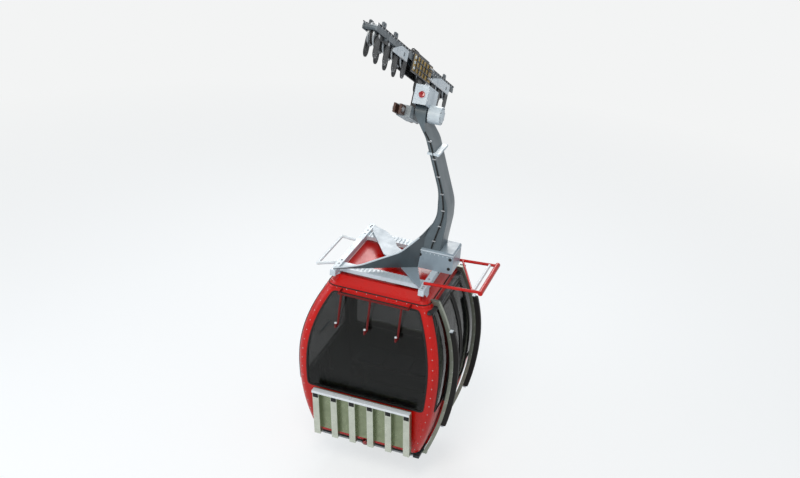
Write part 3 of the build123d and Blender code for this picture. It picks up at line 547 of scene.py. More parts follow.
def bolt(place: Place, axis: Place, radius: float, height: float) -> list[Skin]:
    """A washer with a chamfered hexagon head on it.

    Args:
        place: Centre of the washer's underside.
        axis: The direction that the head points to.
        radius: The head's corner radius.
        height: The head's height over the washer.

    Returns:
        The washer's and the head's skins.
    """
    thick, rim = height / 5, 1.35 * radius
    top = height + thick
    head = [(0, 0), (radius, 0), (radius, 0.8 * height + thick), (0.82 * radius, top), (0, top)]
    return [turned(place, axis, [(0, -thick), (rim, -thick), (rim, thick), (0, thick)]),
            turned(place, axis, head, 6)]


def screw(place: Place, axis: Place, radius: float) -> Skin:
    """A low dome head: radius r cos a and height 0.45 r sin a for a from 0 to 90 degrees.

    Args:
        place: Centre of the underside.
        axis: The direction that the dome faces.
        radius: The head's radius.

    Returns:
        The head's skin.
    """
    angle = np.linspace(0, np.pi / 2, 5)
    dome = zip(radius * np.cos(angle), 0.45 * radius * np.sin(angle))
    return turned(place, axis, [(0, -0.3 * radius), (radius, -0.3 * radius), *dome], 12)


def coil(start: Array, end: Array, radius: float, wire: float, turns: float) -> Skin:
    """A coil spring: a round wire along c + r (u cos t + v sin t) as c runs from start to end.

    Args:
        start: Middle of the first turn.
        end: Middle of the last turn.
        radius: The coil's mean radius.
        wire: The wire's radius.
        turns: How many turns it has.

    Returns:
        The spring's skin.
    """
    share = np.linspace(0, 1, int(turns * 18))[:, None]
    angle = 2 * np.pi * turns * share
    out = np.hstack([np.cos(angle), np.sin(angle)]) @ square_axes(unit(end - start))
    return sweep(start + share * (end - start) + radius * out, circle(wire, 8), out)


def cushion(centre: Place, half: Place, power: float, dip: float = 0.0) -> Skin:
    """A superellipsoid: x = a f(cos v) f(cos u), y = b f(cos v) f(sin u), z = c f(sin v).

    Here f(s) = sign(s) |s|^p.

    Args:
        centre: The middle.
        half: Half sizes a, b and c.
        power: The exponent p; smaller is squarer.
        dip: How far the middle of the top sinks.

    Returns:
        The pad's skin.
    """

    def bent(values: Array) -> Array:
        """Raise each value's size to the power, and keep its sign."""
        return np.sign(values) * np.abs(values) ** power

    tilt = np.linspace(-np.pi / 2 + 0.02, np.pi / 2 - 0.02, 22)[:, None]
    turn = np.linspace(0, 2 * np.pi, 56, endpoint=False)[None, :]
    x = bent(np.cos(tilt)) * bent(np.cos(turn))
    y = bent(np.cos(tilt)) * bent(np.sin(turn))
    z = bent(np.sin(tilt)) * np.ones_like(turn)
    sunk = dip * np.clip(z, 0, 1) * (1 - x**2) * (1 - y**2)
    return Skin(np.stack([x * half[0], y * half[1], z * half[2] - sunk], axis=2) + centre)


def smooth_path(corners: Array | Sequence[Place], bend: float, step: float, looped: bool = False) -> Array:
    """Straight runs joined by bends: each bend is (1-t)^2 a + 2t(1-t) c + t^2 b about its corner c.

    Args:
        corners: The corners.
        bend: How far before and after a corner its bend reaches.
        step: Longest step along the straight runs.
        looped: True where the path closes.

    Returns:
        Points along the path.
    """
    points = np.asarray(corners, float)
    curve: list[Array] = []
    t = np.linspace(0, 1, 7)[:, None]
    for i, corner in enumerate(points):
        if not looped and i in (0, len(points) - 1):
            curve.append(corner[None])
            continue
        near = (points[i - 1], points[(i + 1) % len(points)])
        reach = min(bend, *(np.linalg.norm(n - corner) / 2.2 for n in near))
        a, b = (corner + unit(n - corner) * reach for n in near)
        curve.append((1 - t) ** 2 * a + 2 * t * (1 - t) * corner + t**2 * b)
    rough = np.concatenate(curve + ([curve[0][:1]] if looped else []))
    gaps = np.linalg.norm(np.diff(rough, axis=0), axis=1)
    runs = [
        np.linspace(a, b, max(math.ceil(gap / step), 1), endpoint=False)
        for a, b, gap in zip(rough, rough[1:], gaps)
        if gap > 1e-4
    ]
    return np.concatenate(runs if looped else runs + [rough[-1:]])


def on_rope(along: Array | Place | float, square: Array | Place | float, across: float) -> Array:
    """Turn places counted along the rope into the row frame: y = u cos s + w sin s, z = w cos s - u sin s.

    Args:
        along: Distance u along the rope, downhill.
        square: Distance w over the rope and square to it.
        across: Distance across the rope towards the doors.

    Returns:
        The points.
    """
    u, w, x = np.broadcast_arrays(along, square, across)
    cos, sin = math.cos(ROPE_SLOPE), math.sin(ROPE_SLOPE)
    return np.stack([x, u * cos + w * sin, w * cos - u * sin], axis=-1)


def over_floor(across: Array | Place | float, along: Array | Place | float, height: Array | float) -> Array:
    """Turn cabin places, with height over the floor's underside, into the row frame."""
    return np.stack(np.broadcast_arrays(across, along, height), axis=-1) + (0.0, 0.0, FLOOR_Z)


@dataclass(frozen=True)
class Barrel:
    """A wall's barrel outline: two arcs that meet upright at the bulge."""

    bottom: float
    bulge: float
    top: float
    bulge_height: float = 1060.0
    height: float = 1900.0

    def half(self, height: Array | float) -> Array:
        """Half width at a height: m - R + sqrt(R^2 - (h - k)^2), R the arc's radius.

        Args:
            height: Height over the floor's underside.

        Returns:
            Half width at each height.
        """
        rise = np.asarray(height, float) - self.bulge_height
        inward = self.bulge - np.where(rise < 0, self.bottom, self.top)
        reach = np.where(rise < 0, self.bulge_height, self.height - self.bulge_height)
        radius = (reach**2 + inward**2) / (2 * inward)
        return self.bulge - radius + np.sqrt(radius**2 - rise**2)

    def inset(self, by: float) -> Barrel:
        """Draw the outline in by a distance."""
        return Barrel(self.bottom - by, self.bulge - by, self.top - by)


class Wall(Enum):
    """The cabin's walls, as (axis, way)."""

    UPHILL = (1, -1)
    DOWNHILL = (1, 1)
    FAR_SIDE = (0, -1)
    DOOR_SIDE = (0, 1)


END_WALLS = (Wall.UPHILL, Wall.DOWNHILL)


@dataclass(frozen=True)
class CabinForm:
    """The cabin's outer form: barrel walls both ways with rounded upright corners."""

    side: Barrel = Barrel(585.0, 785.0, 535.0)
    end: Barrel = Barrel(570.0, 735.0, 535.0)
    corner: float = 95.0
    sill: float = 700.0
    lintel: float = 1812.0
    end_window: float = 118.4
    side_window: float = 61.4
    door_edge: float = 341.0
    leaf_face: float = 28.0

    def on_wall(
        self, wall: Wall, across: Array | float, height: Array | float, out: float = 0.0
    ) -> tuple[Array, Array]:
        """Points on a wall, with the way it faces there.

        The face is h(z) less the corner's drop c - sqrt(c^2 - (c - d)^2), with d the distance from the
        next wall, where d is less than the corner radius c.

        Args:
            wall: Which wall.
            across: Places along the wall, from its middle.
            height: Heights over the floor's underside.
            out: Distance outside the face.

        Returns:
            Points and outward vectors.
        """
        axis, way = wall.value
        mine, other = (self.end, self.side) if axis else (self.side, self.end)
        across, height = np.broadcast_arrays(np.asarray(across, float), np.asarray(height, float))
        inside = np.clip(self.corner - (other.half(height) - np.abs(across)), 0, self.corner * 0.98)
        level = np.sqrt(self.corner**2 - inside**2)
        face = way * (mine.half(height) - self.corner + level + out)
        slope = (mine.half(height + 1) - mine.half(height - 1)) / 2
        turn = np.sign(across) * inside / level
        faces = np.stack([turn, way + 0 * turn, -slope] if axis else [way + 0 * turn, turn, -slope], axis=-1)
        return over_floor(*((across, face) if axis else (face, across)), height), unit(faces)

    def plan(self, height: float, out: float) -> tuple[Array, Array]:
        """The level outline at a height: a rectangle with quarter-circle corners.

        Args:
            height: Height over the floor's underside.
            out: Distance outside the walls.

        Returns:
            Points and outward vectors, once round.
        """
        signs, away = quarters(12)
        inner = np.array([self.side.half(height), self.end.half(height)]) - self.corner
        x, y = (signs * inner + (self.corner + out) * away).T
        return over_floor(x, y, height), np.column_stack([away, np.zeros(len(away))])


FORM = CabinForm()


def node_points(node: bpy.types.Object) -> Array:
    """Read a CAD node's points in the row frame.

    Args:
        node: The CAD node.

    Returns:
        Its points as rows, in metres.
    """
    flat = np.empty(len(node.data.vertices) * 3)
    node.data.vertices.foreach_get("co", flat)
    turn = np.array(node.matrix_world)
    return flat.reshape(-1, 3) @ turn[:3, :3].T + turn[:3, 3]


def slice_range(node: bpy.types.Object, height: float) -> tuple[float, float]:
    """Find how far a CAD node reaches across at a height, from its mesh's edges that cross it.

    Args:
        node: The CAD node.
        height: Height over the cabin's floor.

    Returns:
        Lowest and highest X there.
    """
    level = (FLOOR_Z + height) * MM
    edges = np.empty(len(node.data.edges) * 2, int)
    node.data.edges.foreach_get("vertices", edges)
    a, b = node_points(node)[edges.reshape(-1, 2)].transpose(1, 0, 2)
    crossing = (a[:, 2] - level) * (b[:, 2] - level) < 0
    a, b = a[crossing], b[crossing]
    x = a[:, 0] + (level - a[:, 2]) / (b[:, 2] - a[:, 2]) * (b[:, 0] - a[:, 0])
    return x.min() / MM, x.max() / MM


@dataclass
class Dresser:
    """What every sub-assembly needs: the frame's nodes, the built finishes and the body that it rides on."""

    nodes: Mapping[str, bpy.types.Object]
    finishes: Mapping[str, bpy.types.Material]
    home: Body = Body.CABIN
    crease: float = math.radians(32)

    def piece(
        self, name: str, skins: Iterable[Skin], finish: str, slot: Slot | None = None, body: str | None = None
    ) -> bpy.types.Object:
        """Join closed skins to one object that rides on a body.

        Args:
            name: The object's name.
            skins: Its closed skins.
            finish: The name of one of FINISHES.
            slot: The record's material slot that it belongs to, if it has one; not used.
            body: The CAD body that it moves with, if that isn't the sub-assembly's own.

        Returns:
            The new object.
        """
        points: list[Array] = []
        faces: list[list[int]] = []
        base = 0
        for skin in skins:
            for group in skin.faces():
                faces += (group + base).tolist()
            points.append(skin.rings.reshape(-1, 3) * MM)
            base += len(points[-1])
        mesh = bpy.data.meshes.new(name)
        mesh.from_pydata(np.concatenate(points).tolist(), [], faces)
        mesh.materials.append(self.finishes[finish])
        mesh.polygons.foreach_set("use_smooth", np.ones(len(mesh.polygons), bool))
        mesh.set_sharp_from_angle(angle=self.crease)
        mesh.update()
        piece = bpy.data.objects.new(name, mesh)
        bpy.context.scene.collection.objects.link(piece)
        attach(piece, body or self.home.value)
        LOG.info("built %s: %d faces", name, len(faces))
        return piece


# Running gear


@dataclass
class Wheels(Dresser):
    """Liners and hub bolts of the eight rope wheels, and the rockers' axle caps and guard rivets."""

    rockers: tuple[float, ...] = (-1200.0, -580.0, 580.0, 1200.0)
    spacing: float = 320.0
    axle_square: float = 105.0
    groove_radius: float = 86.0
    liner: Section = (34.0, 5.0, 2.0)
    web_face: float = 21.0
    hub_bolts: int = 8
    hub_bolt: Head = (6.0, 5.0)
    hub_circle: float = 58.0
    plate_face: float = 49.0
    cap: Profile = ((0, -1), (24, -1), (24, 3), (21, 4), (0, 4))
    rivet: float = 5.0
    rivet_square: float = -48.0
    rivet_reach: tuple[float, float] = (50.0, 42.0)
    rivet_angles: tuple[int, ...] = (200, 235, 270, 305, 340)

    def build(self) -> None:
        """Build each rocker's caps, and the liner and hub bolts of its two wheels."""
        for i, place in enumerate(self.rockers):
            axles = (place - self.spacing / 2, place + self.spacing / 2)
            self.dress_rocker(i + 1, axles)
            for k, axle in enumerate(axles):
                self.dress_wheel(2 * i + k + 1, axle)

    def dress_rocker(self, number: int, axles: tuple[float, float]) -> None:
        """Add flat axle caps and guard rivets outside one rocker's plates.

        Args:
            number: The rocker's number.
            axles: Its axles' places along the rope.
        """
        skins: list[Skin] = []
        wide, tall = self.rivet_reach
        for side in SIDES:
            out, face = (side, 0, 0), side * self.plate_face
            for along in axles:
                skins.append(turned(on_rope(along, self.axle_square, face), out, self.cap, 24))
                for angle in np.radians(self.rivet_angles):
                    square = self.rivet_square + tall * math.sin(angle)
                    place = on_rope(along + wide * math.cos(angle), square, face)
                    skins.append(screw(place, out, self.rivet))
        self.piece(f"axle_caps_{number}", skins, "bright_zinc", body=f"rocker_{number}")

    def dress_wheel(self, number: int, place: float) -> None:
        """Add the groove's liner and a ring of bolts on both faces to one wheel.

        Args:
            number: The wheel's number.
            place: Its axle's place along the rope.
        """
        centre = np.array([place, self.axle_square])
        ring = on_rope(*(centre + circle(self.groove_radius, 72)).T, 0)
        liner = sweep(ring, rounded(*self.liner), ring - on_rope(*centre, 0), looped=True)
        self.piece(f"groove_liner_{number}", [liner], "moulded_rubber", body=f"wheel_{number}")
        skins: list[Skin] = []
        for side in SIDES:
            for spot in centre + circle(self.hub_circle, self.hub_bolts):
                skins += bolt(on_rope(*spot, side * self.web_face), (side, 0, 0), *self.hub_bolt)
        self.piece(f"hub_bolts_{number}", skins, "bright_zinc", body=f"wheel_{number}")


# The rope brake's ends along the rope, which the frame's fittings keep clear of
BRAKE_ENDS = (-270.0, 475.0)


@dataclass
class CarriageFrame(Dresser):
    """Bolt rows along both frame plates, strips along their edges, and the shields' screws and lips."""

    home: Body = Body.CARRIAGE
    half_length: float = 1520.0
    face: float = 67.0
    bolt: Head = (9.0, 7.0)
    bolt_square: float = 178.0
    bolt_pitch: float = 100.0
    last_bolt: float = 1500.0
    bolt_clearance: float = 30.0
    strip: Section = (8.0, 8.0, 2.0)
    strip_square: float = 186.0
    strip_out: float = 3.0
    strip_clearance: float = 16.0
    shields: tuple[tuple[float, float, int], ...] = ((-690.0, -470.0, 4), (560.0, 1310.0, 9))
    shield_thick: float = 6.0
    shield_screw: float = 7.0
    screw_square: float = 150.0
    lip: Section = (10.0, 6.0, 2.0)
    lip_square: float = 66.0
    lip_out: float = 7.0
    lip_beyond: float = 10.0

    def build(self) -> None:
        """Build the bolts, the edge strips and the shields' trim; a shield is (start, end, screws)."""
        bolts: list[Skin] = []
        strips: list[Skin] = []
        shields: list[Skin] = []
        start, end = BRAKE_ENDS
        for side in SIDES:
            out, face = (side, 0, 0), side * self.face
            for along in np.arange(-self.last_bolt, self.last_bolt + 1, self.bolt_pitch):
                if not start - self.bolt_clearance < along < end + self.bolt_clearance:
                    bolts += bolt(on_rope(along, self.bolt_square, face), out, *self.bolt)
            uphill = (-self.half_length, start - self.strip_clearance)
            downhill = (end + self.strip_clearance, self.half_length)
            for run in (uphill, downhill):
                path = on_rope(np.linspace(*run, 12), self.strip_square, face + side * self.strip_out)
                strips.append(sweep(path, rounded(*self.strip), out))
            for low, high, count in self.shields:
                for along in np.linspace(low, high, count):
                    place = on_rope(along, self.screw_square, face + side * self.shield_thick)
                    shields.append(screw(place, out, self.shield_screw))
                run = np.linspace(low - self.lip_beyond, high + self.lip_beyond, 8)
                path = on_rope(run, self.lip_square, face + side * self.lip_out)
                shields.append(sweep(path, rounded(*self.lip), out))
        self.piece("frame_bolts", bolts, "bright_zinc")
        self.piece("frame_edge_strips", strips, "oiled_steel", Slot.DARK_STEEL)
        self.piece("shield_trim", shields, "bright_zinc")


@dataclass
class RopeBrake(Dresser):
    """Ribs, bars, adjuster springs and spot caps on the rope brake's sides, and the pipe over it."""

    home: Body = Body.CARRIAGE
    face: float = 81.0
    low: float = 14.0
    high: float = 202.0
    rib: Section = (17.0, 14.0, 3.0)
    rib_pitch: float = 118.0
    rib_margins: tuple[float, float] = (120.0, 60.0)
    rib_inset: float = 16.0
    rib_out: float = 4.0
    bar: Section = (12.0, 12.0, 3.0)
    bar_step: float = 30.0
    bar_margins: tuple[float, float] = (108.0, 22.0)
    bar_out: float = 3.0
    spot: Profile = ((0, -2), (17, -2), (17, 7), (14, 10), (8, 10), (7, 7), (0, 7))
    spot_margin: float = 52.0
    spot_pitch: float = 52.0
    spring_inset: float = 42.0
    spring_margins: tuple[float, float] = (150.0, 30.0)
    spring_out: float = 14.0
    spring_radius: float = 9.0
    spring_wire: float = 2.2
    spring_turns: float = 11.0
    spring_rod: float = 4.0
    pipe: float = 6.0
    pipe_bend: float = 25.0
    pipe_across: float = 30.0
    pipe_along: tuple[float, ...] = (-230.0, -190.0, 20.0, 60.0, 160.0)
    pipe_square: tuple[float, ...] = (228.0, 246.0, 246.0, 232.0, 232.0)
    clip: Section = (22.0, 8.0, 2.0)
    clip_ends: tuple[float, float] = (214.0, 252.0)
    clips: tuple[float, ...] = (-180.0, -60.0)

    def build(self) -> None:
        """Build what lies on the brake's two sides, then the pipe with its clips."""
        start, end = BRAKE_ENDS
        middle = (self.low + self.high) / 2
        ribs: list[Skin] = []
        springs: list[Skin] = []
        spots: list[Skin] = []
        for side in SIDES:
            out, face = (side, 0, 0), side * self.face
            upright = np.linspace(self.low + self.rib_inset, self.high - self.rib_inset, 9)
            for along in np.arange(start + self.rib_margins[0], end - self.rib_margins[1], self.rib_pitch):
                path = on_rope(along, upright, face + side * self.rib_out)
                ribs.append(sweep(path, rounded(*self.rib), out))
            level = np.linspace(start + self.bar_margins[0], end - self.bar_margins[1], 12)
            for square in (middle - self.bar_step, middle + self.bar_step):
                path = on_rope(level, square, face + side * self.bar_out)
                ribs.append(sweep(path, rounded(*self.bar), out))
            for k in (-1, 0, 1):
                place = on_rope(start + self.spot_margin, middle + k * self.spot_pitch, face)
                spots.append(turned(place, out, self.spot, 28))
            for square in (self.low + self.spring_inset, self.high - self.spring_inset):
                a, b = on_rope(end - np.array(self.spring_margins), square, face + side * self.spring_out)
                springs.append(coil(a, b, self.spring_radius, self.spring_wire, self.spring_turns))
                springs.append(sweep(np.linspace(a, b, 4), circle(self.spring_rod, 10)))
        self.piece("brake_ribs", ribs, "oiled_steel", Slot.DARK_STEEL)
        self.piece("brake_spots", spots, "silver_enamel", Slot.SILVER_PAINT)
        self.piece("brake_springs", springs, "bright_zinc")
        self.dress_pipe()

    def dress_pipe(self) -> None:
        """A bent brake pipe over the brake, and the two clips that carry it."""
        path = smooth_path(on_rope(self.pipe_along, self.pipe_square, self.pipe_across), self.pipe_bend, 20)
        self.piece("brake_pipe", [sweep(path, circle(self.pipe, 10))], "moulded_rubber")
        clips: list[Skin] = []
        for along in self.clips:
            foot, head = on_rope(along, self.clip_ends, self.pipe_across)
            clips.append(sweep(np.linspace(foot, head, 4), rounded(*self.clip)))
        self.piece("pipe_clips", clips, "bright_zinc")


@dataclass
class PivotBracket(Dresser):
    """Bolts of the bracket's side plate, the haul arm and the clevises."""

    home: Body = Body.CARRIAGE
    neck: tuple[float, float] = (130.0, 300.0)
    neck_face: float = 67.0
    neck_bolt: Head = (13.0, 11.0)
    neck_inset: float = 26.0
    neck_squares: tuple[float, float] = (128.0, 180.0)
    arm: tuple[float, float] = (-40.0, 380.0)
    arm_face: float = 42.0
    arm_low: float = -405.0
    arm_high: float = -290.0
    arm_bolt: Head = (9.0, 8.0)
    arm_insets: tuple[float, float] = (30.0, 22.0)
    clevis_bolt: Head = (21.0, 14.0)
    clevis_beyond: float = 100.0
    clevis_square: float = -350.0

    def build(self) -> None:
        """Build the bolts on the far side of the neck and the arm, and both ends of the clevis bolts."""
        skins: list[Skin] = []
        far = (-1, 0, 0)
        for along in (self.neck[0] + self.neck_inset, self.neck[1] - self.neck_inset):
            for square in self.neck_squares:
                skins += bolt(on_rope(along, square, -self.neck_face), far, *self.neck_bolt)
        inset, rise = self.arm_insets
        for along in np.linspace(self.arm[0] + inset, self.arm[1] - inset, 5):
            for square in (self.arm_low + rise, self.arm_high - rise):
                skins += bolt(on_rope(along, square, -self.arm_face), far, *self.arm_bolt)
        for along in (self.arm[0] - self.clevis_beyond, self.arm[1] + self.clevis_beyond):
            for side in SIDES:
                place = on_rope(along, self.clevis_square, side * self.arm_face)
                skins += bolt(place, (side, 0, 0), *self.clevis_bolt)
        self.piece("bracket_bolts", skins, "bright_zinc")


@dataclass
class HeadCover(Dresser):
    """The head cover's rolled edge, screws, handle and reflector, and the pivot drum's cap and bolts."""

    home: Body = Body.CARRIAGE
    ends: tuple[float, float] = (-57.0, 330.0)
    low: float = -262.0
    high: float = -66.0
    face: float = 236.0
    edge: Section = (7.0, 5.0, 2.0)
    edge_inset: float = 9.0
    edge_bend: float = 14.0
    screw: float = 6.0
    screw_inset: float = 26.0
    reflector_across: float = 178.0
    bezel: Profile = ((0, -2), (41, -2), (41, 5), (38, 7), (35, 5), (0, 5))
    lens: Profile = ((0, 0), (35, 0), (35, 4), (30, 7), (20, 9), (9, 10), (0, 10))
    handle: float = 6.0
    handle_across: float = 175.0
    handle_inset: float = 60.0
    handle_rise: float = 24.0
    handle_bend: float = 18.0
    pivot: float = 354.0
    drum_face: float = 365.0
    drum_cap: Profile = ((0, -3), (70, -3), (70, 5), (64, 9), (34, 9), (30, 14), (0, 14))
    drum_bolts: int = 8
    drum_bolt: Head = (7.0, 6.0)
    drum_circle: float = 81.0

    def build(self) -> None:
        """Build the cover's face, its reflector and its handle, then the drum's end."""
        self.dress_face()
        self.dress_reflector()
        self.dress_handle()
        self.dress_drum()

    def dress_face(self) -> None:
        """A rolled edge round the cover's outer face, with a row of screws above and below."""
        (start, end), low, high, out = self.ends, self.low, self.high, (1, 0, 0)
        left, right = start + self.edge_inset, end - self.edge_inset
        foot, head = low + self.edge_inset, high - self.edge_inset
        corners = on_rope([left, right, right, left], [foot, foot, head, head], self.face)
        loop = smooth_path(corners, self.edge_bend, 40, looped=True)
        skins = [sweep(loop, rounded(*self.edge), out, looped=True)]
        for along in np.linspace(start + self.screw_inset, end - self.screw_inset, 6):
            for square in (low + self.screw_inset, high - self.screw_inset):
                skins.append(screw(on_rope(along, square, self.face), out, self.screw))
        self.piece("cover_edge", skins, "silver_enamel", Slot.SILVER_PAINT)

    def dress_reflector(self) -> None:
        """A plain round red reflector in a bezel on the cover's uphill end."""
        place = on_rope(self.ends[0], (self.low + self.high) / 2, self.reflector_across)
        uphill = -on_rope(1.0, 0.0, 0.0)
        bezel, lens = (turned(place, uphill, profile, 40) for profile in (self.bezel, self.lens))
        self.piece("reflector_bezel", [bezel], "silver_enamel", Slot.SILVER_PAINT)
        self.piece("reflector_lens", [lens], "red_lens")

    def dress_handle(self) -> None:
        """A bent rod over the cover's top."""
        left, right = self.ends[0] + self.handle_inset, self.ends[1] - self.handle_inset
        top = self.high + self.handle_rise
        corners = on_rope([left, left, right, right], [self.high, top, top, self.high], self.handle_across)
        path = smooth_path(corners, self.handle_bend, 20)
        self.piece("cover_handle", [sweep(path, circle(self.handle, 10), (1, 0, 0))], "bright_zinc")

    def dress_drum(self) -> None:
        """A stepped cap with a ring of bolts on the pivot drum's end."""
        centre = np.array([self.drum_face, 0, -self.pivot])
        cap = turned(centre, (1, 0, 0), self.drum_cap, 48)
        self.piece("drum_cap", [cap], "silver_enamel", Slot.SILVER_PAINT)
        bolts: list[Skin] = []
        for y, z in circle(self.drum_circle, self.drum_bolts):
            bolts += bolt(centre + (0, y, z), (1, 0, 0), *self.drum_bolt)
        self.piece("drum_bolts", bolts, "bright_zinc")


# Hanger and roof frame


@dataclass
class HangerTrim(Dresser):
    """Weld beads up the hanger's edges, and the cable pipe with its saddles."""

    half_depth: float = 130.0
    low: float = 2316.0
    high: float = 3590.0
    step: float = 30.0
    bead: float = 4.5
    bead_inset: float = 5.0
    pipe: float = 7.0
    pipe_shift: float = 12.0
    pipe_out: float = 9.0
    saddle: Section = (14.0, 30.0, 4.0)
    saddle_ends: tuple[float, float] = (-6.0, 30.0)
    saddle_out: float = 4.0
    saddle_steps: int = 6

    def build(self) -> None:
        """Build the weld beads, the cable pipe and its saddles, all along the CAD hanger's own edges."""
        heights = np.arange(self.low, self.high, self.step)
        left, right = np.array([slice_range(self.nodes["hanger"], h) for h in heights]).T
        beads = [
            sweep(over_floor(x, way * self.half_depth, heights), circle(self.bead, 8), (0, way, 0))
            for x in (left + self.bead_inset, right - self.bead_inset)
            for way in SIDES
        ]
        self.piece("hanger_weld_beads", beads, "slate_enamel", Slot.HANGER_GREY)
        uphill = (0, -1, 0)
        middle = (left + right) / 2
        path = over_floor(middle + self.pipe_shift, -self.half_depth - self.pipe_out, heights)
        self.piece("hanger_cable_pipe", [sweep(path, circle(self.pipe, 10), uphill)], "moulded_rubber")
        saddles: list[Skin] = []
        for i in range(3, len(heights) - 2, self.saddle_steps):
            run = middle[i] + np.linspace(*self.saddle_ends, 5)
            path = over_floor(run, -self.half_depth - self.saddle_out, heights[i])
            saddles.append(sweep(path, rounded(*self.saddle), uphill))
        self.piece("pipe_saddles", saddles, "bright_zinc")


@dataclass
class RoofFrame(Dresser):
    """Hood grommets, beam bolts and caps, the web's bead in a painted highlight, tread ribs, and a rail
    sleeve over the roof in a painted highlight.
    """

    hood: tuple[float, float] = (255.0, 665.0)
    hood_depth: float = 142.0
    hood_high: float = 2302.0
    grommets: tuple[tuple[float, float], ...] = ((307.0, 2222.0), (631.0, 2232.0), (623.0, 2122.0))
    grommet: Profile = ((0, -2), (17, -2), (17, 4), (14, 6), (11, 4), (9, 1.5), (0, 1.5))
    flange: Section = (14.0, 8.0, 3.0)
    flange_drop: float = 26.0
    hood_screw: float = 6.0
    hood_screw_drop: float = 50.0
    hood_screw_inset: float = 22.0
    beam_place: float = 480.0
    beam_half: float = 600.0
    beam_low: float = 2000.0
    beam_high: float = 2066.0
    beam_width: float = 60.0
    top_bolt: Head = (10.0, 8.0)
    top_bolts: tuple[float, ...] = (-560.0, -520.0, -430.0, -345.0, 345.0, 430.0, 520.0, 560.0)
    side_bolt: Head = (9.0, 7.0)
    side_bolts: tuple[float, ...] = (-300.0, -100.0, 100.0, 300.0)
    end_cap: tuple[float, float, float] = (28.0, 3.5, 31.0)
    web_foot: tuple[float, float] = (-480.0, -570.0)
    web_head: tuple[float, float] = (300.0, -130.0)
    # Stations up the web's edge as (share of the way, height over the beams, lean)
    web_line: tuple[tuple[float, float, float], ...] = (
        (0.0, 14.0, 3.0),
        (0.15, 24.0, 8.0),
        (0.31, 45.0, 16.0),
        (0.42, 88.0, 30.0),
        (0.53, 132.0, 44.0),
        (0.64, 168.0, 50.0),
        (0.755, 205.0, 50.0),
        (0.87, 285.0, 40.0),
        (0.97, 357.0, 26.0),
    )
    web_highlight_bead: float = 9.0
    web_bend: float = 40.0
    rail_place: float = 988.0
    rail_ends: tuple[float, float] = (-447.0, 147.0)
    rail_height: float = 2113.8
    highlight_sleeve: float = 15.0
    tread: Section = (8.0, 4.0, 1.5)
    tread_place: float = 400.0
    tread_half: float = 51.0
    tread_height: float = 2051.0
    tread_pitch: float = 42.0
    tread_starts: tuple[float, float] = (-294.0, -420.0)
    tread_end: float = 420.0

    def build(self) -> None:
        """Build the hood's, the beams', the web's and the tread's fittings."""
        self.dress_hood()
        self.dress_beams()
        self.dress_web()
        self.dress_tread()

    def dress_hood(self) -> None:
        """Three dark rubber grommets on the hood box's front, a lid flange and its screws."""
        (left, right), deep, high = self.hood, self.hood_depth, self.hood_high
        grommets = [turned(over_floor(x, -deep, h), (0, -1, 0), self.grommet, 28) for x, h in self.grommets]
        self.piece("hood_grommets", grommets, "moulded_rubber", Slot.BLACK_RUBBER)
        corners = over_floor([left, right, right, left], [-deep, -deep, deep, deep], high - self.flange_drop)
        loop = smooth_path(corners, 6, 50, looped=True)
        out = (loop - loop.mean(axis=0)) * (1, 1, 0)
        skins = [sweep(loop, rounded(*self.flange), out, looped=True)]
        for x in np.linspace(left + self.hood_screw_inset, right - self.hood_screw_inset, 9):
            for way in SIDES:
                place = over_floor(x, way * deep, high - self.hood_screw_drop)
                skins.append(screw(place, (0, way, 0), self.hood_screw))
        self.piece("hood_flange", skins, "silver_enamel", Slot.SILVER_PAINT)

    def dress_beams(self) -> None:
        """Bolts along the beams' tops and sides, and domed caps on their ends."""
        bolts: list[Skin] = []
        caps: list[Skin] = []
        middle = (self.beam_low + self.beam_high) / 2
        for side in SIDES:
            x = side * self.beam_place
            for y in self.top_bolts:
                bolts += bolt(over_floor(x, y, self.beam_high), (0, 0, 1), *self.top_bolt)
            for y in self.side_bolts:
                place = over_floor(x + side * self.beam_width / 2, y, middle)
                bolts += bolt(place, (side, 0, 0), *self.side_bolt)
            for way in SIDES:
                caps.append(cushion(over_floor(x, way * self.beam_half, middle), self.end_cap, 0.2))
        self.piece("beam_bolts", bolts, "bright_zinc")
        self.piece("beam_end_caps", caps, "silver_enamel", Slot.SILVER_PAINT)

    def dress_web(self) -> None:
        """A round bead along the curved web's free edge, silver as a painted highlight of the lit edge on
        hanger-grey metal.

        The edge runs over foot + share * (head - foot), raised by the station's height and moved out by
        its lean, straight from one station to the next.
        """
        share, height, lean = np.array(self.web_line).T
        run = np.array(self.web_head) - self.web_foot
        out = unit(np.array([run[1], -run[0]]))
        x, y = (self.web_foot + share[:, None] * run + lean[:, None] * out).T
        edge = smooth_path(over_floor(x, y, self.beam_high + height), self.web_bend, 25)
        # Silver on a hanger-grey edge: a painted highlight
        bead = sweep(edge, circle(self.web_highlight_bead), (0, 0, 1))
        self.piece("web_edge_bead", [bead], "silver_enamel", Slot.HANGER_GREY)

    def dress_tread(self) -> None:
        """Raised tread ribs across both cross plates, and a white sleeve on the large frame's red inner rail,
        a painted highlight standing for glare on it.
        """
        rail = over_floor(self.rail_place, np.linspace(*self.rail_ends, 12), self.rail_height)
        # White on a red rail: a painted highlight of glare along it
        highlight_sleeve = sweep(rail, circle(self.highlight_sleeve, 20), (0, 0, 1))
        self.piece("inner_rail_sleeve", [highlight_sleeve], "white_enamel", Slot.CABIN_RED)
        ribs: list[Skin] = []
        for way, start in zip(SIDES, self.tread_starts):
            y = way * self.tread_place + np.linspace(-self.tread_half, self.tread_half, 6)
            for x in np.arange(start, self.tread_end + 1, self.tread_pitch):
                ribs.append(sweep(over_floor(x, y, self.tread_height), rounded(*self.tread), (0, 0, 1)))
        self.piece("tread_ribs", ribs, "silver_enamel", Slot.SILVER_PAINT)


# Cabin


